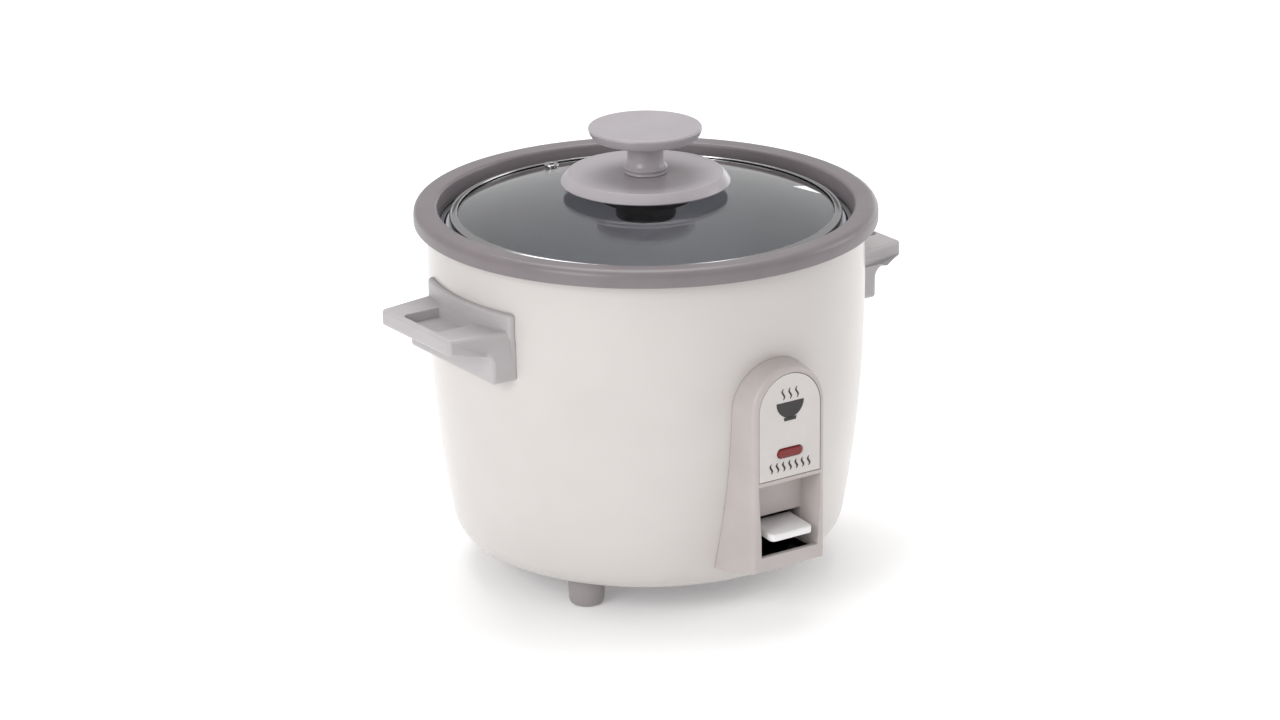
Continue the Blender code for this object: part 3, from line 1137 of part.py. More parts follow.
def make_leads(body):
    """Leads from the inlet's pins to the element, the fuse and the lamp."""
    pin_end = body_radius(INLET_MIDDLE) - 7.6 * MM - GAP
    z = INLET_MIDDLE
    low = LEAD_LOW
    terminal = PLATE_RADIUS * 0.45
    side = PLATE_RADIUS * 0.5
    tail = PLATE_BOTTOM - TERMINAL_LENGTH - LEAD_GAP
    make_lead("lead_neutral", [(-INLET_PIN_X, pin_end, z), (-INLET_PIN_X, pin_end - 8 * MM, z),
                               (-16 * MM, pin_end - 22 * MM, low), (-side, terminal + 6 * MM, low),
                               (-side, terminal, low + 8 * MM), (-side, terminal, tail)], body)
    fuse_x = PLATE_RADIUS * 0.55
    fuse_z = PLATE_BOTTOM - FUSE_DROP
    fuse_end = FUSE_HALF + LEAD_GAP
    make_lead("lead_live", [(INLET_PIN_X, pin_end, z), (INLET_PIN_X, pin_end - 8 * MM, z),
                            (16 * MM, pin_end - 18 * MM, low + 4 * MM), (fuse_x - 8 * MM, 34 * MM, low + 6 * MM),
                            (fuse_x, 20 * MM, fuse_z - 6 * MM), (fuse_x, fuse_end, fuse_z)], body)
    make_lead("lead_contact", [(fuse_x, -fuse_end, fuse_z), (fuse_x, -16 * MM, fuse_z - 3 * MM),
                               (28 * MM, -30 * MM, low + 6 * MM), (22 * MM, PIVOT_Y + 18 * MM, low + 10 * MM),
                               (BRACKET_HALF + 2.4 * MM, PIVOT_Y + 18 * MM, low + 18 * MM)], body)


def main():
    """Builds the whole cooker."""
    for old in list(bpy.data.objects):
        bpy.data.objects.remove(old)
    body = empty("cooker", (0, 0, 0))
    pot = empty("pot_lift_axis", (0, 0, POT_BOTTOM))
    lid = empty("lid_lift_axis", (0, 0, BAND_LOW))
    lever = empty("lever_axis", (0, PIVOT_Y, LEVER_HEIGHT))
    magnet = empty("magnet_axis", (0, 0, LEVER_HEIGHT))
    plunger = empty("plunger_axis", (0, PIVOT_Y + PLUNGER_ARM, LEVER_HEIGHT))
    sensor = empty("sensor_axis", (0, 0, PLATE_TOP))
    make_outer_shell(body)
    make_rim_ring(body)
    make_inner_liner(body)
    make_bottom_cover(body)
    make_feet_and_posts(body)
    make_heating_plate(body)
    make_thermal_fuse(body)
    make_front_panel(body)
    make_switch_tray(body)
    make_badge_and_lamp(body)
    make_switch_lever(lever)
    make_switch_paddle(lever)
    make_switch_bracket(body)
    make_contacts(body, plunger)
    make_magnet(magnet)
    make_sensor(sensor)
    make_inlet(body)
    make_handle("handle_left", -1, body)
    make_handle("handle_right", 1, body)
    make_handle_screws(body)
    make_pot(pot)
    make_glass(lid)
    make_lid_band(lid)
    make_knob(lid)
    make_vent(lid)
    make_leads(body)


main()
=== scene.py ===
# %% [markdown]
# # A small rice cooker with a glass lid
#
# This lesson finishes a rice cooker around its measured frame. The frame gives
# every piece its place and its moving body. Each piece that shows is remodelled
# here with smooth curves, then each finish is built from shader nodes.

# %% The frame and the tools
import json
import math

import bmesh
import bpy
from mathutils import Matrix, Vector


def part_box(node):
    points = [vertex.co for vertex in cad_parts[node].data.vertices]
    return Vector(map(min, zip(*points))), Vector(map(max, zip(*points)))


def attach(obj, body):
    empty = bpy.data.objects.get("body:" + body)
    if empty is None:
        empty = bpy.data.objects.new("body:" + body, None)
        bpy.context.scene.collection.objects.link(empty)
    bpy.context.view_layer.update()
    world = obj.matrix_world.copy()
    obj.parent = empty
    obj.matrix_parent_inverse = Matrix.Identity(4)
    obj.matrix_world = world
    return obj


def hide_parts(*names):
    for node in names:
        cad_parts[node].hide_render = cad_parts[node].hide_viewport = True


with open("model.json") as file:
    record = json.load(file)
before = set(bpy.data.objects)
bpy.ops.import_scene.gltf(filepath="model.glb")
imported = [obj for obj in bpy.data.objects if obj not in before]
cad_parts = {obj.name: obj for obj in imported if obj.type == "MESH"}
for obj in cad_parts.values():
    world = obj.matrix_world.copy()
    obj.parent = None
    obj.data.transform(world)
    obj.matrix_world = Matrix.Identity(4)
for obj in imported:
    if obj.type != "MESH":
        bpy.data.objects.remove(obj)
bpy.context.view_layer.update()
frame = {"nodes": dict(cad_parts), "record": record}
MM = 0.001
GAP = 0.3 * MM               # air left between neighbours
print("frame nodes:", len(frame["nodes"]))

# %% [markdown]
# ## Camera, floor and light
#
# A product picture of a cooker is taken from well back with a long lens, a
# little above the rim, so that the lid shows and the upright lines stay
# upright. The light is a big soft box at the left, one overhead, a weak one at
# the right and a low strip behind that the glass dome mirrors. The floor glows
# a little, as a light table does, which keeps the shadow soft. One hard lamp
# would be simpler, but it would burn out the enamel.

# %% The camera
camera_data = bpy.data.cameras.new("camera")
camera_data.lens = 129.28
camera_data.sensor_width = 36
camera = bpy.data.objects.new("camera", camera_data)
bpy.context.scene.collection.objects.link(camera)
bpy.context.scene.camera = camera
stand = Vector((-1.0919, -1.5887, 0.7593))
aim = Vector((-0.0026, 0.0018, 0.0919))
ROLL = -0.00902              # radians about the lens's own axis
turn = (aim - stand).to_track_quat("-Z", "Y").to_matrix().to_4x4()
camera.matrix_world = Matrix.Translation(stand) @ turn @ Matrix.Rotation(ROLL, 4, "Z")
print("camera is", round((aim - stand).length, 2), "m away")


# %% Small helpers: colour and shader nodes
def linear(hex_colour):
    """Linear RGBA of an sRGB hex colour."""
    channels = [int(hex_colour[i:i + 2], 16) / 255 for i in (0, 2, 4)]
    return [c / 12.92 if c <= 0.04045 else ((c + 0.055) / 1.055) ** 2.4 for c in channels] + [1.0]


def new_finish(name, **values):
    """A material whose shader starts from these socket values."""
    made = bpy.data.materials.new(name)
    made.use_nodes = True
    shader = made.node_tree.nodes["Principled BSDF"]
    for socket, value in values.items():
        shader.inputs[socket.replace("_", " ")].default_value = value
    return made, shader


def add(finish, kind, feeds=None, **settings):
    """Adds one node; feeds are values or the sockets that are linked in."""
    node = finish.node_tree.nodes.new("ShaderNode" + kind)
    for key, value in settings.items():
        setattr(node, key, value)
    for key, value in (feeds or {}).items():
        if isinstance(value, bpy.types.NodeSocket):
            finish.node_tree.links.new(value, node.inputs[key])
        else:
            node.inputs[key].default_value = value
    return node


# %% Floor, lights and surroundings
floor_finish = new_finish("floor_paper", Roughness=0.9, Base_Color=linear("fbfbfb"),
                          Emission_Color=linear("ffffff"), Emission_Strength=0.16)[0]
bpy.ops.object.select_all(action="DESELECT")
bpy.ops.mesh.primitive_plane_add(size=12, location=(0, 0, -0.2 * MM))
floor = bpy.context.object
floor.name = "floor"
floor.data.materials.append(floor_finish)

world = bpy.data.worlds.new("studio")
world.use_nodes = True
surroundings = world.node_tree.nodes["Background"].inputs
surroundings["Color"].default_value = (1, 1, 1, 1)
surroundings["Strength"].default_value = 0.56
bpy.context.scene.world = world
bpy.context.scene.view_settings.view_transform = "Standard"


def soft_box(name, place, size, power, height=None):
    """An area light, in metres and watts, that looks at the middle of the cooker."""
    data = bpy.data.lights.new(name, "AREA")
    data.shape = "RECTANGLE"
    data.size, data.size_y = size, height or size
    data.energy = power
    lamp = bpy.data.objects.new(name, data)
    place = Vector(place)
    look = (Vector((0, 0, 0.1)) - place).to_track_quat("-Z", "Y").to_matrix().to_4x4()
    lamp.matrix_world = Matrix.Translation(place) @ look
    bpy.context.scene.collection.objects.link(lamp)


soft_box("left_box", (-1.9, -0.7, 1.1), 1.0, 19)
soft_box("top_box", (0.2, 0.5, 2.0), 1.4, 24)
soft_box("right_box", (2.0, -0.6, 0.8), 0.9, 8)
soft_box("back_box", (2.58, 1.52, 0.3), 1.8, 5.5, 0.5)

# %% [markdown]
# ## How the pieces are drawn
#
# Most of a cooker is turned or pressed: the body, ring, pot, lid and knob all
# have one outline turned about the middle. In Blender this can be a Screw
# modifier or the Spin operator. Spin is used here, on an outline that is
# extruded point by point, because its corners can be rounded first with a
# vertex bevel, just as a draughtsman rounds a corner.

# %% Selecting, drawing and turning
TURN_STEPS = 96              # faces round a turned piece
ROUND_STEPS = 6              # edges round a softened corner
TOUCH = 0.005 * MM           # points nearer than this are the same corner


def take(piece):
    """Makes a piece the only selected one, and the active one."""
    bpy.ops.object.select_all(action="DESELECT")
    piece.select_set(True)
    bpy.context.view_layer.objects.active = piece


def pick(piece, kind, test):
    """Selects, in edit mode, the points, edges or faces that pass a test."""
    bpy.ops.mesh.select_mode(type=kind)
    bpy.ops.mesh.select_all(action="DESELECT")
    bm = bmesh.from_edit_mesh(piece.data)
    for item in {"VERT": bm.verts, "EDGE": bm.edges, "FACE": bm.faces}[kind]:
        if test(item):
            item.select_set(True)
    bm.select_flush_mode()
    bmesh.update_edit_mesh(piece.data)


def draw(name, corners, closed=True):
    """Draws an outline of (x, y, z) or (x, y, z, softening) corners, left in edit mode."""
    bpy.ops.object.select_all(action="DESELECT")
    bpy.ops.mesh.primitive_plane_add(size=MM)
    piece = bpy.context.object
    piece.name = piece.data.name = name
    bpy.ops.object.mode_set(mode="EDIT")
    bpy.ops.mesh.select_mode(type="VERT")
    bpy.ops.mesh.merge(type="CENTER")
    spots = [Vector(corner[:3]) for corner in corners]
    bpy.ops.transform.translate(value=spots[0])
    for here, there in zip(spots, spots[1:]):
        bpy.ops.mesh.extrude_vertices_move(TRANSFORM_OT_translate={"value": there - here})
    if closed:
        pick(piece, "VERT", lambda v: min((v.co - spots[0]).length, (v.co - spots[-1]).length) < TOUCH)
        bpy.ops.mesh.edge_face_add()
    for spot, corner in zip(spots, corners):
        if len(corner) > 3:
            pick(piece, "VERT", lambda v: (v.co - spot).length < TOUCH)
            bpy.ops.mesh.bevel(affect="VERTICES", offset=corner[3], segments=ROUND_STEPS, profile=0.5)
    bpy.ops.mesh.select_mode(type="VERT")
    bpy.ops.mesh.select_all(action="SELECT")
    return piece


def done(piece, angle=30):
    """Leaves edit mode and shades the piece smooth up to an angle."""
    bpy.ops.object.mode_set(mode="OBJECT")
    take(piece)
    bpy.ops.object.shade_smooth_by_angle(angle=math.radians(angle))
    return piece


def turned(name, outline, centre=(0, 0), steps=TURN_STEPS, angle=30):
    """Turns (radius, height) or (radius, height, softening) corners about an upright axis."""
    corners = [(centre[0] + r, centre[1], z, *soft) for r, z, *soft in outline]
    on_axis = outline[0][0] == 0 and outline[-1][0] == 0
    piece = draw(name, corners, closed=not on_axis)
    bpy.ops.mesh.spin(steps=steps, angle=math.tau, center=(*centre, 0), axis=(0, 0, 1))
    bpy.ops.mesh.select_all(action="SELECT")
    bpy.ops.mesh.remove_doubles(threshold=2e-6)
    bpy.ops.mesh.normals_make_consistent(inside=False)
    return done(piece, angle)


def pushed(name, corners, along):
    """Fills a drawn outline and extrudes it, left in edit mode with the far face selected."""
    piece = draw(name, corners)
    bpy.ops.mesh.edge_face_add()
    bpy.ops.mesh.extrude_region_move(TRANSFORM_OT_translate={"value": along})
    return piece


def even(piece):
    """Turns the faces of the piece in edit mode outwards."""
    bpy.ops.mesh.select_all(action="SELECT")
    bpy.ops.mesh.normals_make_consistent(inside=False)
    return piece


def combine(piece, *tools, operation="DIFFERENCE"):
    """Cuts tools out of a piece, or joins them to it, with applied Booleans."""
    for tool in tools:
        take(piece)
        step = piece.modifiers.new("combine", "BOOLEAN")
        step.operation = operation
        step.object = tool
        step.solver = "EXACT"
        bpy.ops.object.modifier_apply(modifier=step.name)
        bpy.data.meshes.remove(tool.data)
    return piece


def block(low, high):
    """A square-cornered cutter between two corners."""
    low, high = Vector(low), Vector(high)
    bpy.ops.object.select_all(action="DESELECT")
    bpy.ops.mesh.primitive_cube_add(size=1, location=(low + high) / 2, scale=high - low)
    bpy.ops.object.transform_apply(location=True, rotation=True, scale=True)
    return bpy.context.object


def bar(start, end, radius, sides=32):
    """A round cutter between two points."""
    start, end = Vector(start), Vector(end)
    bpy.ops.object.select_all(action="DESELECT")
    bpy.ops.mesh.primitive_cylinder_add(vertices=sides, radius=radius, depth=(end - start).length,
                                        location=(start + end) / 2,
                                        rotation=(end - start).to_track_quat("Z", "Y").to_euler())
    bpy.ops.object.transform_apply(location=True, rotation=True, scale=True)
    return bpy.context.object


def soften(piece, width, test, segments=4):
    """Bevels the chosen edges of a piece that is in object mode."""
    take(piece)
    bpy.ops.object.mode_set(mode="EDIT")
    pick(piece, "EDGE", test)
    bpy.ops.mesh.bevel(affect="EDGES", offset=width, segments=segments, profile=0.5, clamp_overlap=True)
    bpy.ops.object.mode_set(mode="OBJECT")
    return piece


def corner_edge(edge, degrees=40):
    """True on an edge where two faces turn by more than an angle."""
    return len(edge.link_faces) == 2 and edge.calc_face_angle(0) > math.radians(degrees)


def arc(centre, radius, start, end, steps):
    """Points of a circular arc in a plane, angles in degrees."""
    turns = [math.radians(start + (end - start) * i / steps) for i in range(steps + 1)]
    return [(centre[0] + radius * math.cos(t), centre[1] + radius * math.sin(t)) for t in turns]


def seat(piece, finish, body, *nodes, slot=None):
    """Gives a piece its finish and its moving body, and hides the frame nodes that it stands for."""
    piece.data.materials.clear()
    piece.data.materials.append(finish)
    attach(piece, body)
    if nodes:
        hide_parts(*nodes)
    print(piece.name, len(piece.data.polygons), "faces")
    return piece


# %% [markdown]
# ## The body curve
#
# The body is a drawn steel bucket: nearly upright at the rim, leaning in more
# and more towards a rounded bottom corner. One cubic curve gives the radius at
# any height, so the panel and the handles can be trimmed to the same form.

# %% Sizes read from the frame
shell_low, shell_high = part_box("outer_shell")
ring_low, ring_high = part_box("rim_ring")
FLOOR = shell_low.z                    # underside of the body
RING_RADIUS = ring_high.x
RING_TOP = ring_high.z
RING_EDGE = ring_low.z + 1.5 * MM      # lower edge of the ring's skirt
BODY_TOP = RING_RADIUS - 6.1 * MM      # radius just under the ring
BODY_LOW = BODY_TOP - 8.8 * MM         # radius at the top of the bottom corner
CORNER_TOP = FLOOR + 11.8 * MM
TOP_SLOPE = -0.032
LOW_SLOPE = 0.19
SHELL_WALL = 1.0 * MM
print("body radius", round(BODY_TOP / MM, 1), "to", round(BODY_LOW / MM, 1), "mm")


def body_radius(z):
    """Outside radius of the body at a height."""
    span = RING_EDGE - CORNER_TOP
    t = min(max((z - CORNER_TOP) / span, 0), 1)
    return (BODY_LOW * (2 * t ** 3 - 3 * t ** 2 + 1) + LOW_SLOPE * span * (t ** 3 - 2 * t ** 2 + t)
            + BODY_TOP * (3 * t ** 2 - 2 * t ** 3) + TOP_SLOPE * span * (t ** 3 - t ** 2))


def body_outline(inward, steps=20, corner_steps=10):
    """The body's outside from its top edge to its flat floor, moved inward."""
    lean = math.atan(LOW_SLOPE)
    radius = (CORNER_TOP - FLOOR) / (1 - math.sin(lean))
    points = [(BODY_TOP - inward, shell_high.z)]
    for i in range(steps + 1):
        z = RING_EDGE + (CORNER_TOP - RING_EDGE) * i / steps
        slope = (body_radius(z + MM / 10) - body_radius(z - MM / 10)) / (MM / 5)
        slope = {0: 0, steps: LOW_SLOPE}.get(i, slope)
        size = math.hypot(1, slope)
        points.append((body_radius(z) - inward / size, z + inward * slope / size))
    centre = (BODY_LOW - radius * math.cos(lean), CORNER_TOP + radius * math.sin(lean))
    return points + arc(centre, radius - inward, -math.degrees(lean), -90, corner_steps)[1:]


def body_form(outward):
    """The body's outer form as a solid cutter, grown by a clearance."""
    outline = body_outline(-outward)
    return turned("body_form", [(0, outline[0][1])] + outline + [(0, outline[-1][1])])


# %% [markdown]
# ## Enamelled body and its bottom
#
# The shell is drawn from one sheet, then enamelled. It has a slot for the
# switch lever and a hole for the mains inlet, both cut with Booleans. The
# floor is closed by a moulded cover with vent slots between the feet.

# %% Body shell
outside = body_outline(0)
flat_radius = outside[-1][0]
hole_radius = flat_radius - 5 * MM
slot_low, slot_high = FLOOR + 17.2 * MM, FLOOR + 35.5 * MM
SLOT_HALF = 13.6 * MM
INLET_HOLE = 9.6 * MM
inside = body_outline(SHELL_WALL)
edge = [(hole_radius, FLOOR), (hole_radius, FLOOR + SHELL_WALL)]
body_shell = turned("body_shell", outside + edge + inside[::-1])
inlet_low, inlet_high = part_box("inlet_housing")
inlet_middle = (inlet_low.z + inlet_high.z) / 2
slot_tool = block((-SLOT_HALF, -100 * MM, slot_low), (SLOT_HALF, -70 * MM, slot_high))
inlet_tool = bar((0, 80 * MM, inlet_middle), (0, 104 * MM, inlet_middle), INLET_HOLE)
combine(body_shell, slot_tool, inlet_tool)

# %% Bottom cover
COVER_THICK = 3.2 * MM
COVER_STEP = 6 * MM          # how far its rim reaches over the shell's edge
VENT_PITCH, VENT_WIDE, VENT_LONG = 9 * MM, 3 * MM, 48 * MM
cover_edge = hole_radius - GAP
ledge = FLOOR + SHELL_WALL + GAP
cover_top = FLOOR + COVER_THICK
cover = turned("floor_cover", [(0, FLOOR), (cover_edge, FLOOR, 0.4 * MM), (cover_edge, ledge),
                               (hole_radius + COVER_STEP, ledge), (hole_radius + COVER_STEP, cover_top),
                               (0, cover_top)])
for row in range(-2, 3):
    x = row * VENT_PITCH
    combine(cover, block((x - VENT_WIDE / 2, -VENT_LONG / 2, FLOOR - MM),
                         (x + VENT_WIDE / 2, VENT_LONG / 2, cover_top + MM)))

# %% Feet and their screws
FOOT_NAMES = ("front_left", "front_right", "rear")
FOOT_BORE = 3.9 * MM         # counterbore for the screw's head
FOOT_SEAT = 6 * MM           # height of the seat that the head pulls on
SHANK = 1.8 * MM
SHANK_LONG = 24 * MM
CROSS = (1.9 * MM, 0.45 * MM)


def make_foot(name):
    """A tapered moulded foot with a counterbore and a cross-slot screw up it."""
    low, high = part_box("foot_" + name)
    x, y = (low.x + high.x) / 2, (low.y + high.y) / 2
    wide = (high.x - low.x) / 2
    hole = SHANK + GAP
    foot = turned("rest_foot_" + name, [(FOOT_BORE, 0, 0.3 * MM), (wide - 1.3 * MM, 0, 0.9 * MM),
                                        (wide - 0.5 * MM, 2.2 * MM), (wide, high.z), (hole, high.z),
                                        (hole, FOOT_SEAT), (FOOT_BORE, FOOT_SEAT)], (x, y), 48)
    seat_z = FOOT_SEAT - GAP
    screw = turned("foot_fixing_" + name, [(0, seat_z - 1.9 * MM), (3.3 * MM, seat_z - 1.6 * MM, 0.9 * MM),
                                           (3.6 * MM, seat_z, 0.2 * MM), (SHANK, seat_z),
                                           (SHANK, seat_z + SHANK_LONG), (0, seat_z + SHANK_LONG)],
                   (x, y), 32)
    for across, along in (CROSS, CROSS[::-1]):
        combine(screw, block((x - across, y - along, 0), (x + across, y + along, seat_z - 0.9 * MM)))
    return foot, screw


feet = {name: make_foot(name) for name in FOOT_NAMES}

# %% [markdown]
# ## Rim ring, liner, heating plate and sensor
#
# The ring is a soft-cornered moulding that hangs over the shell's raw edge.
# Inside it a bright liner keeps the heat off the shell, and the cast plate
# heats the pot. The sprung sensor cap stands in the plate's middle. Its coil is
# copied from the frame and drawn squashed by the cap's stroke, so that it
# stays clear of the bracket below when the pot presses the cap down.

# %% Rim ring
LIP = RING_RADIUS - 10.3 * MM
LEG = LIP - 0.7 * MM
leg_low = ring_low.z
hollow_top = shell_high.z + 0.4 * MM
rim_ring = turned("rim_moulding", [
    (RING_RADIUS, RING_EDGE, 0.6 * MM), (RING_RADIUS, RING_TOP, 3.7 * MM),
    (LIP, RING_TOP - 0.4 * MM, 1.5 * MM), (LEG, leg_low, 0.4 * MM),
    (LEG + 1.6 * MM, leg_low), (LEG + 1.6 * MM, hollow_top),
    (RING_RADIUS - 1.8 * MM, hollow_top), (RING_RADIUS - 1.8 * MM, RING_EDGE, 0.4 * MM)], steps=128)

# %% Liner
liner_low, liner_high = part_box("inner_liner")
plate_low, plate_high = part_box("heating_plate")
LINER = LEG - 1.4 * MM
liner_foot = min(LINER, body_radius(liner_low.z) - SHELL_WALL - 0.8 * MM)
liner_hole = plate_high.x + 3 * MM
LINER_WALL = 0.8 * MM
liner = turned("heat_liner", [
    (liner_high.x, liner_high.z), (liner_high.x, liner_high.z - LINER_WALL),
    (LINER, liner_high.z - LINER_WALL), (liner_foot, liner_low.z, 3.2 * MM),
    (liner_hole, liner_low.z), (liner_hole, liner_low.z + LINER_WALL),
    (liner_foot - LINER_WALL, liner_low.z + LINER_WALL, 2.6 * MM), (LINER - LINER_WALL, liner_high.z)])

# %% Heating plate and sensor cap
SENSOR_BORE = 16 * MM
plate = turned("cast_plate", [
    (SENSOR_BORE, plate_low.z), (plate_high.x, plate_low.z, 2 * MM), (plate_high.x, plate_high.z, 1.6 * MM),
    (SENSOR_BORE, plate_high.z, 0.7 * MM)])
cap_low, cap_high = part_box("sensor_cap")
sensor_cap = turned("sensor_button", [
    (0, cap_high.z), (cap_high.x, cap_high.z, 1.2 * MM), (cap_high.x, cap_low.z),
    (cap_high.x - MM, cap_low.z), (cap_high.x - MM, cap_high.z - MM, 0.5 * MM),
    (0, cap_high.z - MM)], steps=64)

# %% Spring under the sensor cap
CAP_STROKE = 1.5 * MM
spring_low, spring_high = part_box("sensor_spring")
spring = bpy.data.objects.new("cap_spring", frame["nodes"]["sensor_spring"].data.copy())
bpy.context.scene.collection.objects.link(spring)
take(spring)
bpy.ops.object.mode_set(mode="EDIT")
bpy.ops.mesh.select_all(action="SELECT")
bpy.ops.mesh.remove_doubles(threshold=0.001 * MM)
squash = 1 - CAP_STROKE / (spring_high.z - spring_low.z)
bpy.ops.transform.resize(value=(1, 1, squash), center_override=(0, 0, spring_high.z))
done(spring, angle=60)
print("the spring is squashed to", round(squash, 2), "of its height")

# %% [markdown]
# ## Inner pot
#
# The pot is spun aluminium with a wide bottom curve and a flat flange that
# it is lifted by. The outline goes up the outside and down the inside, so the
# wall has its real thickness at the rim.

# %% Inner pot
pot_low, pot_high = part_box("inner_pot")
POT_WALL = 1.5 * MM
POT_SIDE = pot_high.x - 3.7 * MM
POT_CORNER = 22 * MM
low_side = POT_SIDE - 1.8 * MM
inner_pot = turned("rice_pot", [
    (0, pot_low.z), (low_side, pot_low.z, POT_CORNER), (POT_SIDE, pot_high.z - POT_WALL, 0.6 * MM),
    (pot_high.x, pot_high.z - POT_WALL, 0.6 * MM), (pot_high.x, pot_high.z, 0.6 * MM),
    (POT_SIDE - POT_WALL, pot_high.z, 0.9 * MM),
    (low_side - POT_WALL, pot_low.z + POT_WALL, POT_CORNER - POT_WALL),
    (0, pot_low.z + POT_WALL)], steps=128)

# %% [markdown]
# ## Glass lid
#
# The lid is a pressed dome of tempered glass with a thin steel band rolled
# round its edge and a small metal vent. Both faces of the glass are modelled,
# because light bends at each of them.

# %% Glass dome
glass_low, glass_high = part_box("glass_dome")
GLASS_THICK = 2.4 * MM
GLASS_RADIUS = glass_high.x
CROWN = glass_high.z
RISE = CROWN - glass_low.z - GLASS_THICK
DOME = (GLASS_RADIUS ** 2 + RISE ** 2) / (2 * RISE)


def dome(radius, drop=0.0):
    """Height of the glass's upper face at a radius, less a drop."""
    return CROWN - (DOME - math.sqrt(DOME ** 2 - radius ** 2)) - drop


stem_hole = 4 * MM
GLASS_STEPS = 20
radii = [stem_hole + (GLASS_RADIUS - stem_hole) * i / GLASS_STEPS for i in range(GLASS_STEPS + 1)]
over = [(r, dome(r)) for r in radii]
under = [(r, dome(r, GLASS_THICK)) for r in radii[::-1]]
over[-1] = (*over[-1], 0.7 * MM)
under[0] = (*under[0], 0.7 * MM)
glass = turned("lid_glass", over + under, steps=128, angle=40)
vent_low, vent_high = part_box("steam_vent")
vent_place = ((vent_low.x + vent_high.x) / 2, (vent_low.y + vent_high.y) / 2)
combine(glass, bar((*vent_place, CROWN - 20 * MM), (*vent_place, CROWN + 4 * MM), 2.5 * MM))

# %% Steel band and vent
band_low, band_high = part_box("lid_band")
BAND = band_high.x
BAND_WALL = 0.5 * MM
band_in = BAND - 3.5 * MM
lip_high = dome(band_in) + 0.45 * MM
band_shoulder = dome(GLASS_RADIUS) + GAP
band = turned("lid_hoop", [
    (band_in, lip_high), (band_in + 0.2 * MM, lip_high + BAND_WALL, 0.3 * MM),
    (band_in + 1.2 * MM, band_shoulder + BAND_WALL + 0.4 * MM),
    (BAND - 1.1 * MM, band_shoulder + 0.2 * MM, 0.3 * MM),
    (BAND - 0.7 * MM, band_shoulder + BAND_WALL + 0.1 * MM, 0.25 * MM),
    (BAND, band_shoulder + 0.2 * MM, 0.35 * MM), (BAND, band_low.z, 0.5 * MM), (band_in, band_low.z),
    (band_in, band_low.z + BAND_WALL), (BAND - BAND_WALL, band_low.z + BAND_WALL),
    (BAND - BAND_WALL, band_shoulder - 0.2 * MM)], steps=128, angle=40)
vent_side = (vent_high.x - vent_low.x) / 2
neck = vent_side - 1.2 * MM
bore = vent_side - 2.2 * MM
vent = turned("lid_vent", [
    (bore, vent_high.z, 0.2 * MM), (vent_side, vent_high.z, 0.35 * MM), (vent_side, vent_high.z - 0.8 * MM),
    (neck, vent_high.z - 0.8 * MM), (neck, vent_low.z + 0.8 * MM), (vent_side, vent_low.z + 0.8 * MM),
    (vent_side, vent_low.z), (bore, vent_low.z)], vent_place, 40)

# %% [markdown]
# ## Knob, its base, and the washer and nut below
#
# The knob is a moulded mushroom: a shallow dished top, a thin rounded edge
# and a waist that flares at both ends. It stands on a wide saucer that keeps
# fingers off the hot glass. A black washer and nut clamp them from below and
# show through the dome.

# %% Knob base
base_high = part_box("knob_base")[1]
BASE = base_high.x
core = 2.7 * MM                        # hole for the clamping screw
base_seat = CROWN + GAP
base_rim = dome(BASE) + 3.7 * MM
base_top = base_high.z
rim_top = BASE - 3.3 * MM
dish = base_top - 0.2 * MM
knob_base = turned("knob_saucer", [
    (core, base_seat), (11 * MM, base_seat, 1.5 * MM), (BASE - 3.4 * MM, base_rim + 0.7 * MM, 1.2 * MM),
    (BASE - 0.8 * MM, base_rim, 0.4 * MM), (BASE, base_rim + 0.6 * MM, 0.35 * MM),
    (BASE - 0.9 * MM, base_top - 2.6 * MM, 1.5 * MM), (rim_top, base_top, 0.3 * MM),
    (rim_top - 1.4 * MM, dish - 0.2 * MM, 0.6 * MM), (24 * MM, dish - 0.9 * MM, 8 * MM),
    (13 * MM, dish, 3 * MM), (core, dish)], steps=112, angle=25)

# %% Knob
knob_low, knob_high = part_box("knob")
KNOB = knob_high.x
knob_top = knob_high.z
knob_under = knob_top - 5.4 * MM
KNOB_LOW = KNOB - 2.2 * MM
STEM = 7.9 * MM
COLLAR = 9.9 * MM
foot_z = knob_low.z
knob = turned("knob_cap_top", [
    (0, knob_top - 0.9 * MM), (KNOB * 0.72, knob_top - 0.8 * MM, 5 * MM),
    (KNOB - 1.6 * MM, knob_top - 0.1 * MM, 0.6 * MM), (KNOB - 0.7 * MM, knob_top, 0.35 * MM),
    (KNOB, knob_top - 0.8 * MM, 0.4 * MM),
    (KNOB - 0.5 * MM, knob_under + 2.6 * MM, 1.5 * MM), (KNOB_LOW, knob_under + 0.2 * MM, 0.7 * MM),
    (KNOB_LOW - 3 * MM, knob_under - 0.1 * MM, 1 * MM), (STEM + 1.4 * MM, knob_under - 1.2 * MM, 2.0 * MM),
    (STEM, knob_under - 4.5 * MM, 1.5 * MM), (STEM, foot_z + 5.4 * MM, 1.5 * MM),
    (COLLAR - 0.9 * MM, foot_z + 3.3 * MM, 0.6 * MM), (COLLAR, foot_z + 2.3 * MM, 0.5 * MM),
    (COLLAR - 0.9 * MM, foot_z + 1.1 * MM, 0.4 * MM), (COLLAR - 0.6 * MM, foot_z), (core, foot_z),
    (core, knob_under - MM), (0, knob_under - MM)], steps=112, angle=25)

# %% Washer and nut under the glass
seal_low, seal_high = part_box("lid_seal")
washer = turned("lid_washer", [
    (core, seal_low.z), (seal_high.x, seal_low.z, 0.5 * MM), (seal_high.x, seal_high.z, 0.5 * MM),
    (core, seal_high.z)], steps=80)
nut_low, nut_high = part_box("knob_cap")
well = nut_low.z + 2 * MM
nut = turned("lid_nut", [
    (core, well), (5 * MM, well), (5 * MM, nut_low.z, 0.3 * MM), (nut_high.x, nut_low.z, 1.6 * MM),
    (nut_high.x, nut_high.z, 0.4 * MM), (core, nut_high.z)], steps=80)

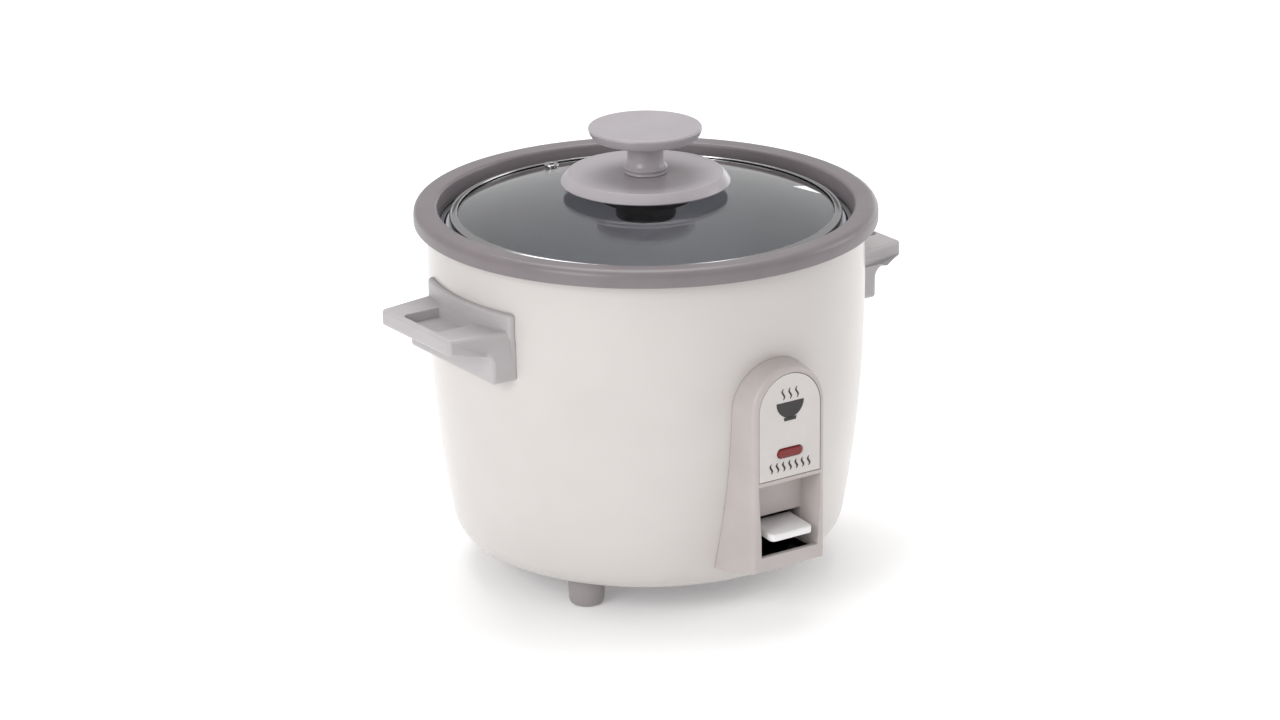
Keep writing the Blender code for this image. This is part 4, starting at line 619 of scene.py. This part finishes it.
# %% [markdown]
# ## Front panel with the switch recess
#
# The panel is one hollow moulding with an arched top. It grows wider towards
# the body, so that it leaves its mould. The arch is drawn once, pushed back,
# widened, trimmed to the body's form, and then the badge's seat, the recess
# and the lever's slot are cut out of it.

# %% Panel body
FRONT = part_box("front_panel")[0].y
PANEL_HALF = 18.8 * MM
PANEL_DEPTH = 29 * MM
panel_foot = FLOOR + 14.2 * MM
arch_z = FLOOR + 86.1 * MM             # where the arch begins
FACE_ROUND = 2.4 * MM
FLARE, FOOT_FLARE, FOOT_DROP = 0.138, 0.204, 0.12    # growth per depth: all round, at the foot, down


def arch(half, low, y, steps=40):
    """An upright outline with a round top, as corners at one depth."""
    round_top = arc((0, arch_z), half, 0, 180, steps)
    return [(-half, y, low), (half, y, low)] + [(x, y, z) for x, z in round_top]


def place_corner(piece, here, there):
    """Moves the points found at one place to another, in edit mode."""
    here, there = Vector(here), Vector(there)
    pick(piece, "VERT", lambda v: (v.co - here).length < 2 * TOUCH)
    bpy.ops.transform.translate(value=there - here)


panel = pushed("switch_panel", arch(PANEL_HALF, panel_foot, FRONT), (0, PANEL_DEPTH, 0))
grow = 1 + FLARE * PANEL_DEPTH / PANEL_HALF
bpy.ops.transform.resize(value=(grow, 1, grow), center_override=(0, FRONT + PANEL_DEPTH, arch_z))
back_half = PANEL_HALF + FOOT_FLARE * PANEL_DEPTH
for side in (-1, 1):
    here = (side * PANEL_HALF * grow, FRONT + PANEL_DEPTH, arch_z - (arch_z - panel_foot) * grow)
    place_corner(panel, here, (side * back_half, FRONT + PANEL_DEPTH, panel_foot - FOOT_DROP * PANEL_DEPTH))
even(panel)
bpy.ops.object.mode_set(mode="OBJECT")
soften(panel, FACE_ROUND, lambda e: all(v.co.y < FRONT + GAP for v in e.verts), 7)
combine(panel, body_form(GAP))

# %% Switch recess, lever slot and badge seat
RECESS_DEPTH = 11 * MM
sill = FLOOR + 21.1 * MM
recess_top = FLOOR + 53.6 * MM
PROUD = 4 * MM               # how far a cutter starts in front of the face
mouth_y, end_y = FRONT - PROUD, FRONT + RECESS_DEPTH


def recess_corners(y):
    """The recess's four corners at a depth: its walls close in towards the back."""
    share = (y - FRONT) / RECESS_DEPTH
    top = (16.5 - 2.7 * share) * MM
    low = (14.9 - 1.2 * share) * MM
    high = recess_top - 1.2 * MM * share
    return [(-low, y, sill), (low, y, sill), (top, y, high), (-top, y, high)]


recess = pushed("recess", recess_corners(mouth_y), (0, end_y - mouth_y, 0))
for (x, y, z), there in zip(recess_corners(mouth_y), recess_corners(end_y)):
    place_corner(recess, (x, end_y, z), there)
done(even(recess))
badge_low, badge_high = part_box("badge_plate")
BADGE_HALF = badge_high.x
badge_seat = pushed("badge_seat", arch(BADGE_HALF + GAP, badge_low.z - GAP, mouth_y),
                    (0, PROUD + badge_high.y - badge_low.y + GAP, 0))
done(even(badge_seat))
lever_slot = block((-SLOT_HALF, end_y, slot_low), (SLOT_HALF, FRONT + 34 * MM, slot_high))
SILL_LIP = 2.2 * MM
tray_room = block((-SLOT_HALF, FRONT + SILL_LIP, slot_low), (SLOT_HALF, end_y + MM, sill + MM))
combine(panel, recess, lever_slot, tray_room, badge_seat)
soften(panel, 0.5 * MM, lambda e: corner_edge(e, 50) and all(v.co.y < FRONT + 0.05 * MM for v in e.verts)
       and all(v.co.z < badge_low.z - MM for v in e.verts), 3)
bpy.ops.object.shade_smooth_by_angle(angle=math.radians(30))

# %% Black tray behind the sill: its near-black paints the deep shade inside the lever slot
tray_low, tray_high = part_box("switch_tray")
TRAY_WALL = 1.0 * MM
tray = block(tray_low, tray_high)
tray.name = tray.data.name = "slot_tray"
tray_front = tray_low.y + TRAY_WALL
combine(tray, block((tray_low.x + TRAY_WALL, tray_front, tray_low.z + TRAY_WALL),
                    (tray_high.x - TRAY_WALL, tray_high.y - TRAY_WALL, tray_high.z + MM)))
soften(tray, 0.25 * MM, lambda e: corner_edge(e, 60), 2)

# %% Badge plate and lens
lens_low, lens_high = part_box("indicator_lens")
lens_middle = (lens_low.z + lens_high.z) / 2
LENS_HALF = lens_high.x
LENS_ROUND = (lens_high.z - lens_low.z) / 2


def pill(half, radius, y, steps=12):
    """A bar outline with round ends, as corners at one depth."""
    ends = arc((half - radius, lens_middle), radius, -90, 90, steps)
    ends += arc((radius - half, lens_middle), radius, 90, 270, steps)
    return [(x, y, z) for x, z in ends]


badge = pushed("badge_face", arch(BADGE_HALF, badge_low.z, badge_low.y), (0, badge_high.y - badge_low.y, 0))
done(even(badge))
window = pushed("window", pill(LENS_HALF + GAP, LENS_ROUND + GAP, badge_low.y - MM), (0, 8 * MM, 0))
done(even(window))
combine(badge, window)
soften(badge, 0.2 * MM, lambda e: corner_edge(e, 60)
       and all(v.co.y < badge_low.y + 0.01 * MM for v in e.verts), 2)
lens = pushed("lamp_lens", pill(LENS_HALF, LENS_ROUND, lens_low.y), (0, lens_high.y - lens_low.y, 0))
done(even(lens))
soften(lens, 0.6 * MM, lambda e: all(v.co.y < lens_low.y + 0.01 * MM for v in e.verts), 4)

# %% [markdown]
# ## Printed signs
#
# The plate is printed in dark ink. A bowl with three wisps of steam and a row
# of heat waves say what the switch does without words. Each mark is a sheet of
# ink a few hundredths of a millimetre proud, drawn as an outline and pushed.

# %% Ink marks
INK = 0.06 * MM
ink_y = badge_low.y - 0.02 * MM
ink_marks = []


def ink(name, outline):
    """One printed mark from (x, z) points."""
    mark = pushed(name, [(x, ink_y, z) for x, z in outline], (0, -INK, 0))
    ink_marks.append(done(even(mark)))


def wave(name, x, low, high, wide, swing, steps=14):
    """An upright wavy stroke that thins towards its ends."""
    left, right = [], []
    for i in range(steps + 1):
        t = i / steps
        middle = x + swing * math.sin(math.tau * t)
        half = wide / 2 * (0.35 + 0.65 * math.sin(math.pi * t))
        left.append((middle - half, low + (high - low) * t))
        right.append((middle + half, low + (high - low) * t))
    ink(name, left + right[::-1])


BOWL = 7.2 * MM              # radius of the printed bowl
bowl_rim = arch_z + 3.5 * MM
ink("ink_bowl", arc((0, bowl_rim), BOWL, -180, 0, 24))
ink("ink_bowl_foot", [(-3 * MM, bowl_rim - BOWL - 1.3 * MM), (3 * MM, bowl_rim - BOWL - 1.3 * MM),
                      (3.4 * MM, bowl_rim - BOWL + 0.3 * MM), (-3.4 * MM, bowl_rim - BOWL + 0.3 * MM)])
for number, x in enumerate((-3.6, 0, 3.6)):
    wave(f"ink_steam_{number + 1}", x * MM, bowl_rim + 1.2 * MM, bowl_rim + 6.2 * MM, 0.95 * MM, 0.6 * MM)
heat_low = lens_middle - 8.2 * MM
heat_high = heat_low + 4.4 * MM
HEAT_PITCH = 3.3 * MM
for number in range(7):
    wave(f"ink_heat_{number + 1}", (number - 3) * HEAT_PITCH, heat_low, heat_high, 1.1 * MM, 0.5 * MM)

# %% [markdown]
# ## Switch paddle
#
# A white paddle slopes down towards the finger. Its side view is drawn and
# pushed across, then the two front corners are rounded wide and every other
# edge narrowly, in that order, as a mould maker would cut it.

# %% Paddle
paddle_low, paddle_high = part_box("switch_paddle")
PADDLE_HALF = paddle_high.x
PADDLE_THICK = 3.3 * MM
PADDLE_CORNER, PADDLE_EDGE = 2.5 * MM, 0.8 * MM
rise = (paddle_high.z - paddle_low.z) - PADDLE_THICK
tip_y, tail_y = paddle_low.y, paddle_high.y
side_view = [(-PADDLE_HALF, tip_y, paddle_low.z), (-PADDLE_HALF, tail_y, paddle_low.z + rise),
             (-PADDLE_HALF, tail_y, paddle_high.z), (-PADDLE_HALF, tip_y, paddle_high.z - rise)]
paddle = pushed("push_paddle", side_view, (2 * PADDLE_HALF, 0, 0))
done(even(paddle))
soften(paddle, PADDLE_CORNER, lambda e: abs(e.verts[0].co.y - e.verts[1].co.y) < 1e-6
       and abs(e.verts[0].co.x - e.verts[1].co.x) < 1e-6 and e.verts[0].co.y < tip_y + MM, 6)
soften(paddle, PADDLE_EDGE, lambda e: corner_edge(e, 60), 4)
bpy.ops.object.shade_smooth_by_angle(angle=math.radians(35))

# %% [markdown]
# ## Side handles
#
# Each handle is one moulding: a flange that follows the body, a block under
# it, and a shelf with a shallow pocket for the fingertips. One is modelled,
# the other is its mirror image with a mesh of its own.

# %% Right handle
handle_low, handle_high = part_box("handle_right")
SHELF_TIP = handle_high.x
HANDLE_HALF = handle_high.y
TIP_HALF = 27.2 * MM
HANDLE_ROUND = 1.6 * MM
block_face = BODY_TOP + 6.4 * MM
shelf_top = RING_EDGE - 26.3 * MM
shelf_low = shelf_top - 8.3 * MM
root_x = BODY_TOP - 12 * MM
GUSSET = 4.5 * MM
side_view = [(root_x, handle_low.z), (block_face, handle_low.z), (block_face, shelf_low, GUSSET),
             (SHELF_TIP, shelf_low + 0.8 * MM), (SHELF_TIP, shelf_top), (root_x, shelf_top)]
handle = pushed("side_handle_right", [(x, -HANDLE_HALF, *rest) for x, *rest in side_view],
                (0, 2 * HANDLE_HALF, 0))
pick(handle, "VERT", lambda v: v.co.x > SHELF_TIP - 0.1 * MM)
bpy.ops.transform.resize(value=(1, TIP_HALF / HANDLE_HALF, 1), center_override=(SHELF_TIP, 0, shelf_top))
done(even(handle))
soften(handle, HANDLE_ROUND, lambda e: corner_edge(e) and max(v.co.x for v in e.verts) > root_x + MM, 5)
flange_out = BODY_TOP + 2.7 * MM
spread = math.degrees(math.asin((HANDLE_HALF - GAP) / flange_out))
sector = arc((0, 0), flange_out, -spread, spread, 24)
sector = [(root_x, sector[0][1])] + sector + [(root_x, sector[-1][1])]
flange_foot = shelf_low + 2 * MM
flange = pushed("flange", [(x, y, flange_foot) for x, y in sector], (0, 0, handle_high.z - flange_foot))
done(even(flange))
soften(flange, HANDLE_ROUND, lambda e: corner_edge(e) and max(v.co.x for v in e.verts) > root_x + 6 * MM, 4)
combine(handle, flange, operation="UNION")
POCKET_HALF = 14 * MM
POCKET_CORNER = 3 * MM
pocket_floor = shelf_top - 4.4 * MM
pocket_in, pocket_out = flange_out + 0.6 * MM, SHELF_TIP - 2.4 * MM
pocket = pushed("pocket", [(pocket_in, -POCKET_HALF, pocket_floor),
                           (pocket_out, -POCKET_HALF, pocket_floor, POCKET_CORNER),
                           (pocket_out, POCKET_HALF, pocket_floor, POCKET_CORNER),
                           (pocket_in, POCKET_HALF, pocket_floor)], (0, 0, 6 * MM))
done(even(pocket))
combine(handle, pocket, body_form(GAP))
soften(handle, 0.7 * MM, lambda e: corner_edge(e, 60)
       and all(abs(v.co.z - shelf_top) < 0.02 * MM for v in e.verts)
       and all(abs(v.co.y) < POCKET_HALF + MM for v in e.verts), 3)
bpy.ops.object.shade_smooth_by_angle(angle=math.radians(30))

# %% Left handle
take(handle)
bpy.ops.object.duplicate()
left_handle = bpy.context.object
left_handle.name = left_handle.data.name = "side_handle_left"
bpy.ops.object.mode_set(mode="EDIT")
bpy.ops.mesh.select_all(action="SELECT")
bpy.ops.transform.resize(value=(-1, 1, 1), center_override=(0, 0, 0))
done(even(left_handle))

# %% [markdown]
# ## Mains inlet
#
# At the back is a shrouded socket with two round pins. The outline is a
# rounded box, pushed to the back face; the mouth is hollowed and the pins
# stand inside it, clear of its walls.

# %% Inlet and pins
SOCKET_DEPTH = 16 * MM
INLET_WALL = 3.2 * MM
INLET_ROOT = 70 * MM         # inside the body; the body's form trims it
inlet_half, inlet_back = inlet_high.x, inlet_high.y


def round_box(half, low, high, soft, y):
    """A box outline with softened corners at one depth."""
    return [(-half, y, low, soft), (half, y, low, soft), (half, y, high, soft), (-half, y, high, soft)]


inlet = pushed("mains_inlet", round_box(inlet_half, inlet_low.z, inlet_high.z, 5 * MM, INLET_ROOT),
               (0, inlet_back - INLET_ROOT, 0))
done(even(inlet))
soften(inlet, 1.3 * MM, lambda e: all(v.co.y > inlet_back - GAP for v in e.verts), 4)
mouth = pushed("mouth", round_box(inlet_half - INLET_WALL, inlet_low.z + INLET_WALL,
                                  inlet_high.z - INLET_WALL, 3 * MM, inlet_back - SOCKET_DEPTH),
               (0, SOCKET_DEPTH + 4 * MM, 0))
done(even(mouth))
combine(inlet, body_form(GAP), mouth)
pins = []
for side in ("left", "right"):
    low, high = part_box("inlet_pin_" + side)
    x, radius = (low.x + high.x) / 2, (high.x - low.x) / 2
    combine(inlet, bar((x, low.y - 2 * MM, inlet_middle), (x, inlet_back, inlet_middle), radius + GAP))
    pin = bar((x, low.y, inlet_middle), (x, high.y, inlet_middle), radius, 40)
    pin.name = pin.data.name = "contact_pin_" + side
    soften(pin, 0.9 * MM, lambda e: all(v.co.y > high.y - GAP for v in e.verts), 4)
    bpy.ops.object.shade_smooth_by_angle(angle=math.radians(35))
    pins.append(pin)

# %% [markdown]
# ## Enamel on steel
#
# The body is fired enamel: a warm white, glassy coat with a faint orange-peel
# ripple. The glassiness comes from a clear coat over a soft base, and the
# ripple, a couple of millimetres across, from a very weak bump.

# %% Enamel
def enamel_finish():
    """Fired enamel: gloss with a soft ripple that breaks up long reflections."""
    made, shader = new_finish("fired_enamel", Roughness=0.32, Coat_Weight=0.35, Coat_Roughness=0.08)
    where = add(made, "TexCoord").outputs["Object"]
    cloud = add(made, "TexNoise", {"Vector": where, "Scale": 1 / 0.05, "Detail": 2.0}).outputs["Fac"]
    tone = add(made, "ValToRGB", {"Fac": cloud})
    tone.color_ramp.elements[0].position, tone.color_ramp.elements[1].position = 0.3, 0.7
    tone.color_ramp.elements[0].color = linear("c6c1be")
    tone.color_ramp.elements[1].color = linear("cbc6c3")
    peel = add(made, "TexNoise", {"Vector": where, "Scale": 1 / 0.0025, "Detail": 1.0}).outputs["Fac"]
    ripple = add(made, "Bump", {"Height": peel, "Strength": 0.05, "Distance": 0.1 * MM})
    made.node_tree.links.new(tone.outputs["Color"], shader.inputs["Base Color"])
    made.node_tree.links.new(ripple.outputs["Normal"], shader.inputs["Normal"])
    return made


enamel = enamel_finish()

# %% [markdown]
# ## Moulded plastics
#
# The ring, knob, handles and panel are heat-proof moulded plastic with a fine
# spark-eroded grain. The same build serves them all, with each one's colour,
# grain and gloss: two close tones in soft clouds, a grain bump, and a
# roughness that wanders a little, which is what keeps a moulding from looking
# like paint. The real grain is near 0.1 mm; it is drawn at 0.5 mm so it shows.

# %% Moulded plastic
def moulded_finish(name, dark, pale, gloss, grain=0.5 * MM, bump=0.25):
    """Satin moulded plastic in two close tones."""
    made, shader = new_finish(name, Roughness=gloss)
    where = add(made, "TexCoord").outputs["Object"]
    cloud = add(made, "TexNoise", {"Vector": where, "Scale": 1 / 0.018, "Detail": 4.0}).outputs["Fac"]
    tone = add(made, "ValToRGB", {"Fac": cloud})
    tone.color_ramp.elements[0].position, tone.color_ramp.elements[1].position = 0.3, 0.7
    tone.color_ramp.elements[0].color = linear(dark)
    tone.color_ramp.elements[1].color = linear(pale)
    spark = add(made, "TexNoise", {"Vector": where, "Scale": 1 / grain, "Detail": 2.0}).outputs["Fac"]
    relief = add(made, "Bump", {"Height": spark, "Strength": bump, "Distance": 0.05 * MM})
    sheen = add(made, "MapRange", {"Value": spark, "To Min": gloss - 0.05, "To Max": gloss + 0.07})
    made.node_tree.links.new(tone.outputs["Color"], shader.inputs["Base Color"])
    made.node_tree.links.new(sheen.outputs["Result"], shader.inputs["Roughness"])
    made.node_tree.links.new(relief.outputs["Normal"], shader.inputs["Normal"])
    return made


ring_plastic = moulded_finish("moulded_ring_grey", "766f72", "7c7578", 0.36)
foot_plastic = moulded_finish("moulded_foot_grey", "958f90", "9b9596", 0.45)
lid_plastic = moulded_finish("moulded_lid_grey", "a39da1", "aaa4a8", 0.30, bump=0.15)
handle_plastic = moulded_finish("moulded_handle_grey", "aeaaab", "b4b0b1", 0.42)
panel_plastic = moulded_finish("moulded_panel_grey", "b3aba9", "b9b1af", 0.40)
paddle_plastic = moulded_finish("moulded_paddle_white", "e6e4e4", "ecebea", 0.30, bump=0.1)
pale_insulator = moulded_finish("moulded_insulator_white", "dedcd8", "e6e4e0", 0.45)
black_plastic = moulded_finish("moulded_black", "191818", "201f1f", 0.42)
# The tray is a black moulding drawn darker than the other black plastic. Its near-black is painted shade:
# it stands for the deep shade of the cavity behind the lever slot.
tray_painted_shade_black = moulded_finish("moulded_tray_black_painted_shade", "080808", "0d0c0c", 0.24)

# %% [markdown]
# ## Painted badge, ink and lens
#
# The badge is a thin plate with a baked pale coat, smoother than the moulding
# round it. The lens is cast red plastic over a lamp that is off, so it is a
# plain dark red with a soft sheen: hardly any light comes back through it.

# %% Badge, ink and lens
badge_paint = moulded_finish("baked_badge_paint", "c9c4c1", "cec9c6", 0.34, grain=0.8 * MM, bump=0.06)
ink_finish = moulded_finish("printing_ink", "2b2929", "332f30", 0.5, bump=0.05)


RIB = 1.2 * MM


def lens_finish():
    """Cast red plastic, nearly opaque, with fine ribs on its inside."""
    made, shader = new_finish("cast_red_lens", Roughness=0.28, IOR=1.49, Transmission_Weight=0.05,
                              Coat_Weight=0.05, Coat_Roughness=0.05)
    where = add(made, "TexCoord").outputs["Object"]
    ribs = add(made, "TexWave", {"Vector": where, "Scale": 1 / (math.pi * RIB)}, bands_direction="X")
    tone = add(made, "ValToRGB", {"Fac": ribs.outputs["Fac"]})
    tone.color_ramp.elements[0].color = linear("6c0e0c")
    tone.color_ramp.elements[1].color = linear("841210")
    made.node_tree.links.new(tone.outputs["Color"], shader.inputs["Base Color"])
    return made


red_lens = lens_finish()

# %% [markdown]
# ## Metals
#
# Spun and cast aluminium show rings left by the tool. The rings are one-way
# noise read along the distance from the axis plus the height, so that they
# run round both floors and walls. Pressed steel has a finer, random grain,
# and the lid's band is polished bright. Brass is for the terminals.

# %% Turned aluminium
def turned_metal(name, colour, gloss, ring=0.6 * MM, bump=0.3):
    """Aluminium with tool rings about the upright axis, drawn a little coarse."""
    made, shader = new_finish(name, Metallic=1.0, Roughness=gloss, Base_Color=linear(colour))
    where = add(made, "TexCoord").outputs["Object"]
    flat = add(made, "VectorMath", {0: where, 1: (1, 1, 0)}, operation="MULTIPLY").outputs["Vector"]
    radius = add(made, "VectorMath", {0: flat}, operation="LENGTH").outputs["Value"]
    height = add(made, "SeparateXYZ", {"Vector": where}).outputs["Z"]
    along = add(made, "Math", {0: radius, 1: height}, operation="ADD").outputs["Value"]
    rings = add(made, "TexNoise", {"W": along, "Scale": 1 / ring, "Detail": 3.0}, noise_dimensions="1D")
    relief = add(made, "Bump", {"Height": rings.outputs["Fac"], "Strength": bump, "Distance": 0.04 * MM})
    sheen = add(made, "MapRange", {"Value": rings.outputs["Fac"],
                                   "To Min": gloss - 0.08, "To Max": gloss + 0.08})
    made.node_tree.links.new(sheen.outputs["Result"], shader.inputs["Roughness"])
    made.node_tree.links.new(relief.outputs["Normal"], shader.inputs["Normal"])
    return made


pot_metal = turned_metal("spun_pot_aluminium", "c9cad0", 0.5)
plate_metal = turned_metal("machined_plate_aluminium", "a2a4a6", 0.34, ring=1.0 * MM, bump=0.5)
liner_metal = turned_metal("rolled_liner_aluminium", "8a8b8e", 0.4, ring=2.5 * MM, bump=0.15)
cap_metal = turned_metal("pressed_cap_aluminium", "b4b6b8", 0.3, ring=0.8 * MM)


# %% Steels and brass
def rolled_metal(name, colour, gloss, grain=1.2 * MM, bump=0.12):
    """Sheet or bar metal with a fine random grain."""
    made, shader = new_finish(name, Metallic=1.0, Roughness=gloss, Base_Color=linear(colour))
    where = add(made, "TexCoord").outputs["Object"]
    speck = add(made, "TexNoise", {"Vector": where, "Scale": 1 / grain, "Detail": 3.0}).outputs["Fac"]
    sheen = add(made, "MapRange", {"Value": speck,
                                   "To Min": max(gloss - 0.07, 0.03), "To Max": gloss + 0.07})
    relief = add(made, "Bump", {"Height": speck, "Strength": bump, "Distance": 0.03 * MM})
    made.node_tree.links.new(sheen.outputs["Result"], shader.inputs["Roughness"])
    made.node_tree.links.new(relief.outputs["Normal"], shader.inputs["Normal"])
    return made


zinc_steel = rolled_metal("zinc_plated_steel", "8d9092", 0.36)
bright_steel = rolled_metal("polished_stainless", "b4b3b4", 0.17, bump=0.03)
brass = rolled_metal("drawn_brass", "b08d4e", 0.28)

# %% [markdown]
# ## Glass, rubber, magnet and wire
#
# The lid is clear tempered glass: all its light passes through, bent at both
# faces, with no tint worth drawing and a trace of unevenness from pressing.
# The washer is silicone, the magnets are sintered ferrite, and the leads have
# a glass-fibre sleeve.

# %% Glass and soft parts
def glass_finish():
    """Pressed clear glass with the faintest waviness."""
    made, shader = new_finish("pressed_clear_glass", Roughness=0.0, IOR=1.5, Transmission_Weight=1.0,
                              Base_Color=linear("fcfdfd"))
    where = add(made, "TexCoord").outputs["Object"]
    flow = add(made, "TexNoise", {"Vector": where, "Scale": 1 / 0.03, "Detail": 1.0}).outputs["Fac"]
    wander = add(made, "Bump", {"Height": flow, "Strength": 0.02, "Distance": 0.2 * MM})
    made.node_tree.links.new(wander.outputs["Normal"], shader.inputs["Normal"])
    return made


clear_glass = glass_finish()
silicone = moulded_finish("black_silicone", "2b292a", "333132", 0.6, grain=0.8 * MM)
ferrite = moulded_finish("sintered_ferrite", "343232", "3e3c3c", 0.6, grain=0.4 * MM, bump=0.5)
sleeve = moulded_finish("woven_lead_sleeve", "641b17", "762420", 0.62, grain=0.6 * MM, bump=0.6)

# %% [markdown]
# ## Dressing the frame
#
# Pieces that stay as the frame made them, such as the lever, magnet and
# bracket inside, take the finish of their own slot. The remodelled pieces
# then stand for theirs and ride on the same bodies.

# %% Finishes for the frame's own nodes
SLOT_FINISH = {
    "enamel": enamel, "grey_plastic": handle_plastic, "pale_plastic": panel_plastic, "badge": badge_paint,
    "white_plastic": pale_insulator, "red_lens": red_lens, "black_plastic": black_plastic,
    "aluminium": cap_metal, "steel": zinc_steel, "bright_steel": bright_steel, "brass": brass,
    "magnet": ferrite, "glass": clear_glass, "rubber": silicone, "wire": sleeve,
}
for entry in frame["record"]["subparts"]:
    mesh = frame["nodes"][entry["node"]].data
    mesh.materials.clear()
    mesh.materials.append(SLOT_FINISH[entry["material_slot"]])

# %% Casing, inside and feet
seat(body_shell, enamel, "root", "outer_shell", slot="enamel")
seat(cover, foot_plastic, "root", "bottom_cover", slot="grey_plastic")
for name, (foot, screw) in feet.items():
    seat(foot, foot_plastic, "root", "foot_" + name, slot="grey_plastic")
    seat(screw, zinc_steel, "root", "foot_screw_" + name, slot="steel")
seat(rim_ring, ring_plastic, "root", "rim_ring", slot="grey_plastic")
seat(liner, liner_metal, "root", "inner_liner", slot="aluminium")
seat(plate, plate_metal, "root", "heating_plate", slot="aluminium")
seat(sensor_cap, cap_metal, "sensor", "sensor_cap", slot="aluminium")
seat(spring, bright_steel, "sensor", "sensor_spring", slot="bright_steel")

# %% Pot and lid
seat(inner_pot, pot_metal, "pot", "inner_pot", slot="aluminium")
seat(glass, clear_glass, "lid", "glass_dome", slot="glass")
seat(band, bright_steel, "lid", "lid_band", slot="bright_steel")
seat(vent, bright_steel, "lid", "steam_vent", slot="bright_steel")
seat(knob_base, lid_plastic, "lid", "knob_base", slot="grey_plastic")
seat(knob, lid_plastic, "lid", "knob", slot="pale_plastic")
seat(washer, silicone, "lid", "lid_seal", slot="rubber")
seat(nut, black_plastic, "lid", "knob_cap", slot="black_plastic")

# %% Panel, switch, handles and inlet
seat(panel, panel_plastic, "root", "front_panel", slot="pale_plastic")
# The tray's near-black finish is painted shade inside the lever slot.
seat(tray, tray_painted_shade_black, "root", "switch_tray", slot="black_plastic")
seat(badge, badge_paint, "root", "badge_plate", slot="badge")
seat(lens, red_lens, "root", "indicator_lens", slot="red_lens")
for mark in ink_marks:
    seat(mark, ink_finish, "root")
seat(paddle, paddle_plastic, "lever", "switch_paddle", slot="white_plastic")
seat(handle, handle_plastic, "root", "handle_right", slot="grey_plastic")
seat(left_handle, handle_plastic, "root", "handle_left", slot="grey_plastic")
seat(inlet, foot_plastic, "root", "inlet_housing", slot="grey_plastic")
for side, pin in zip(("left", "right"), pins):
    seat(pin, bright_steel, "root", "inlet_pin_" + side, slot="bright_steel")
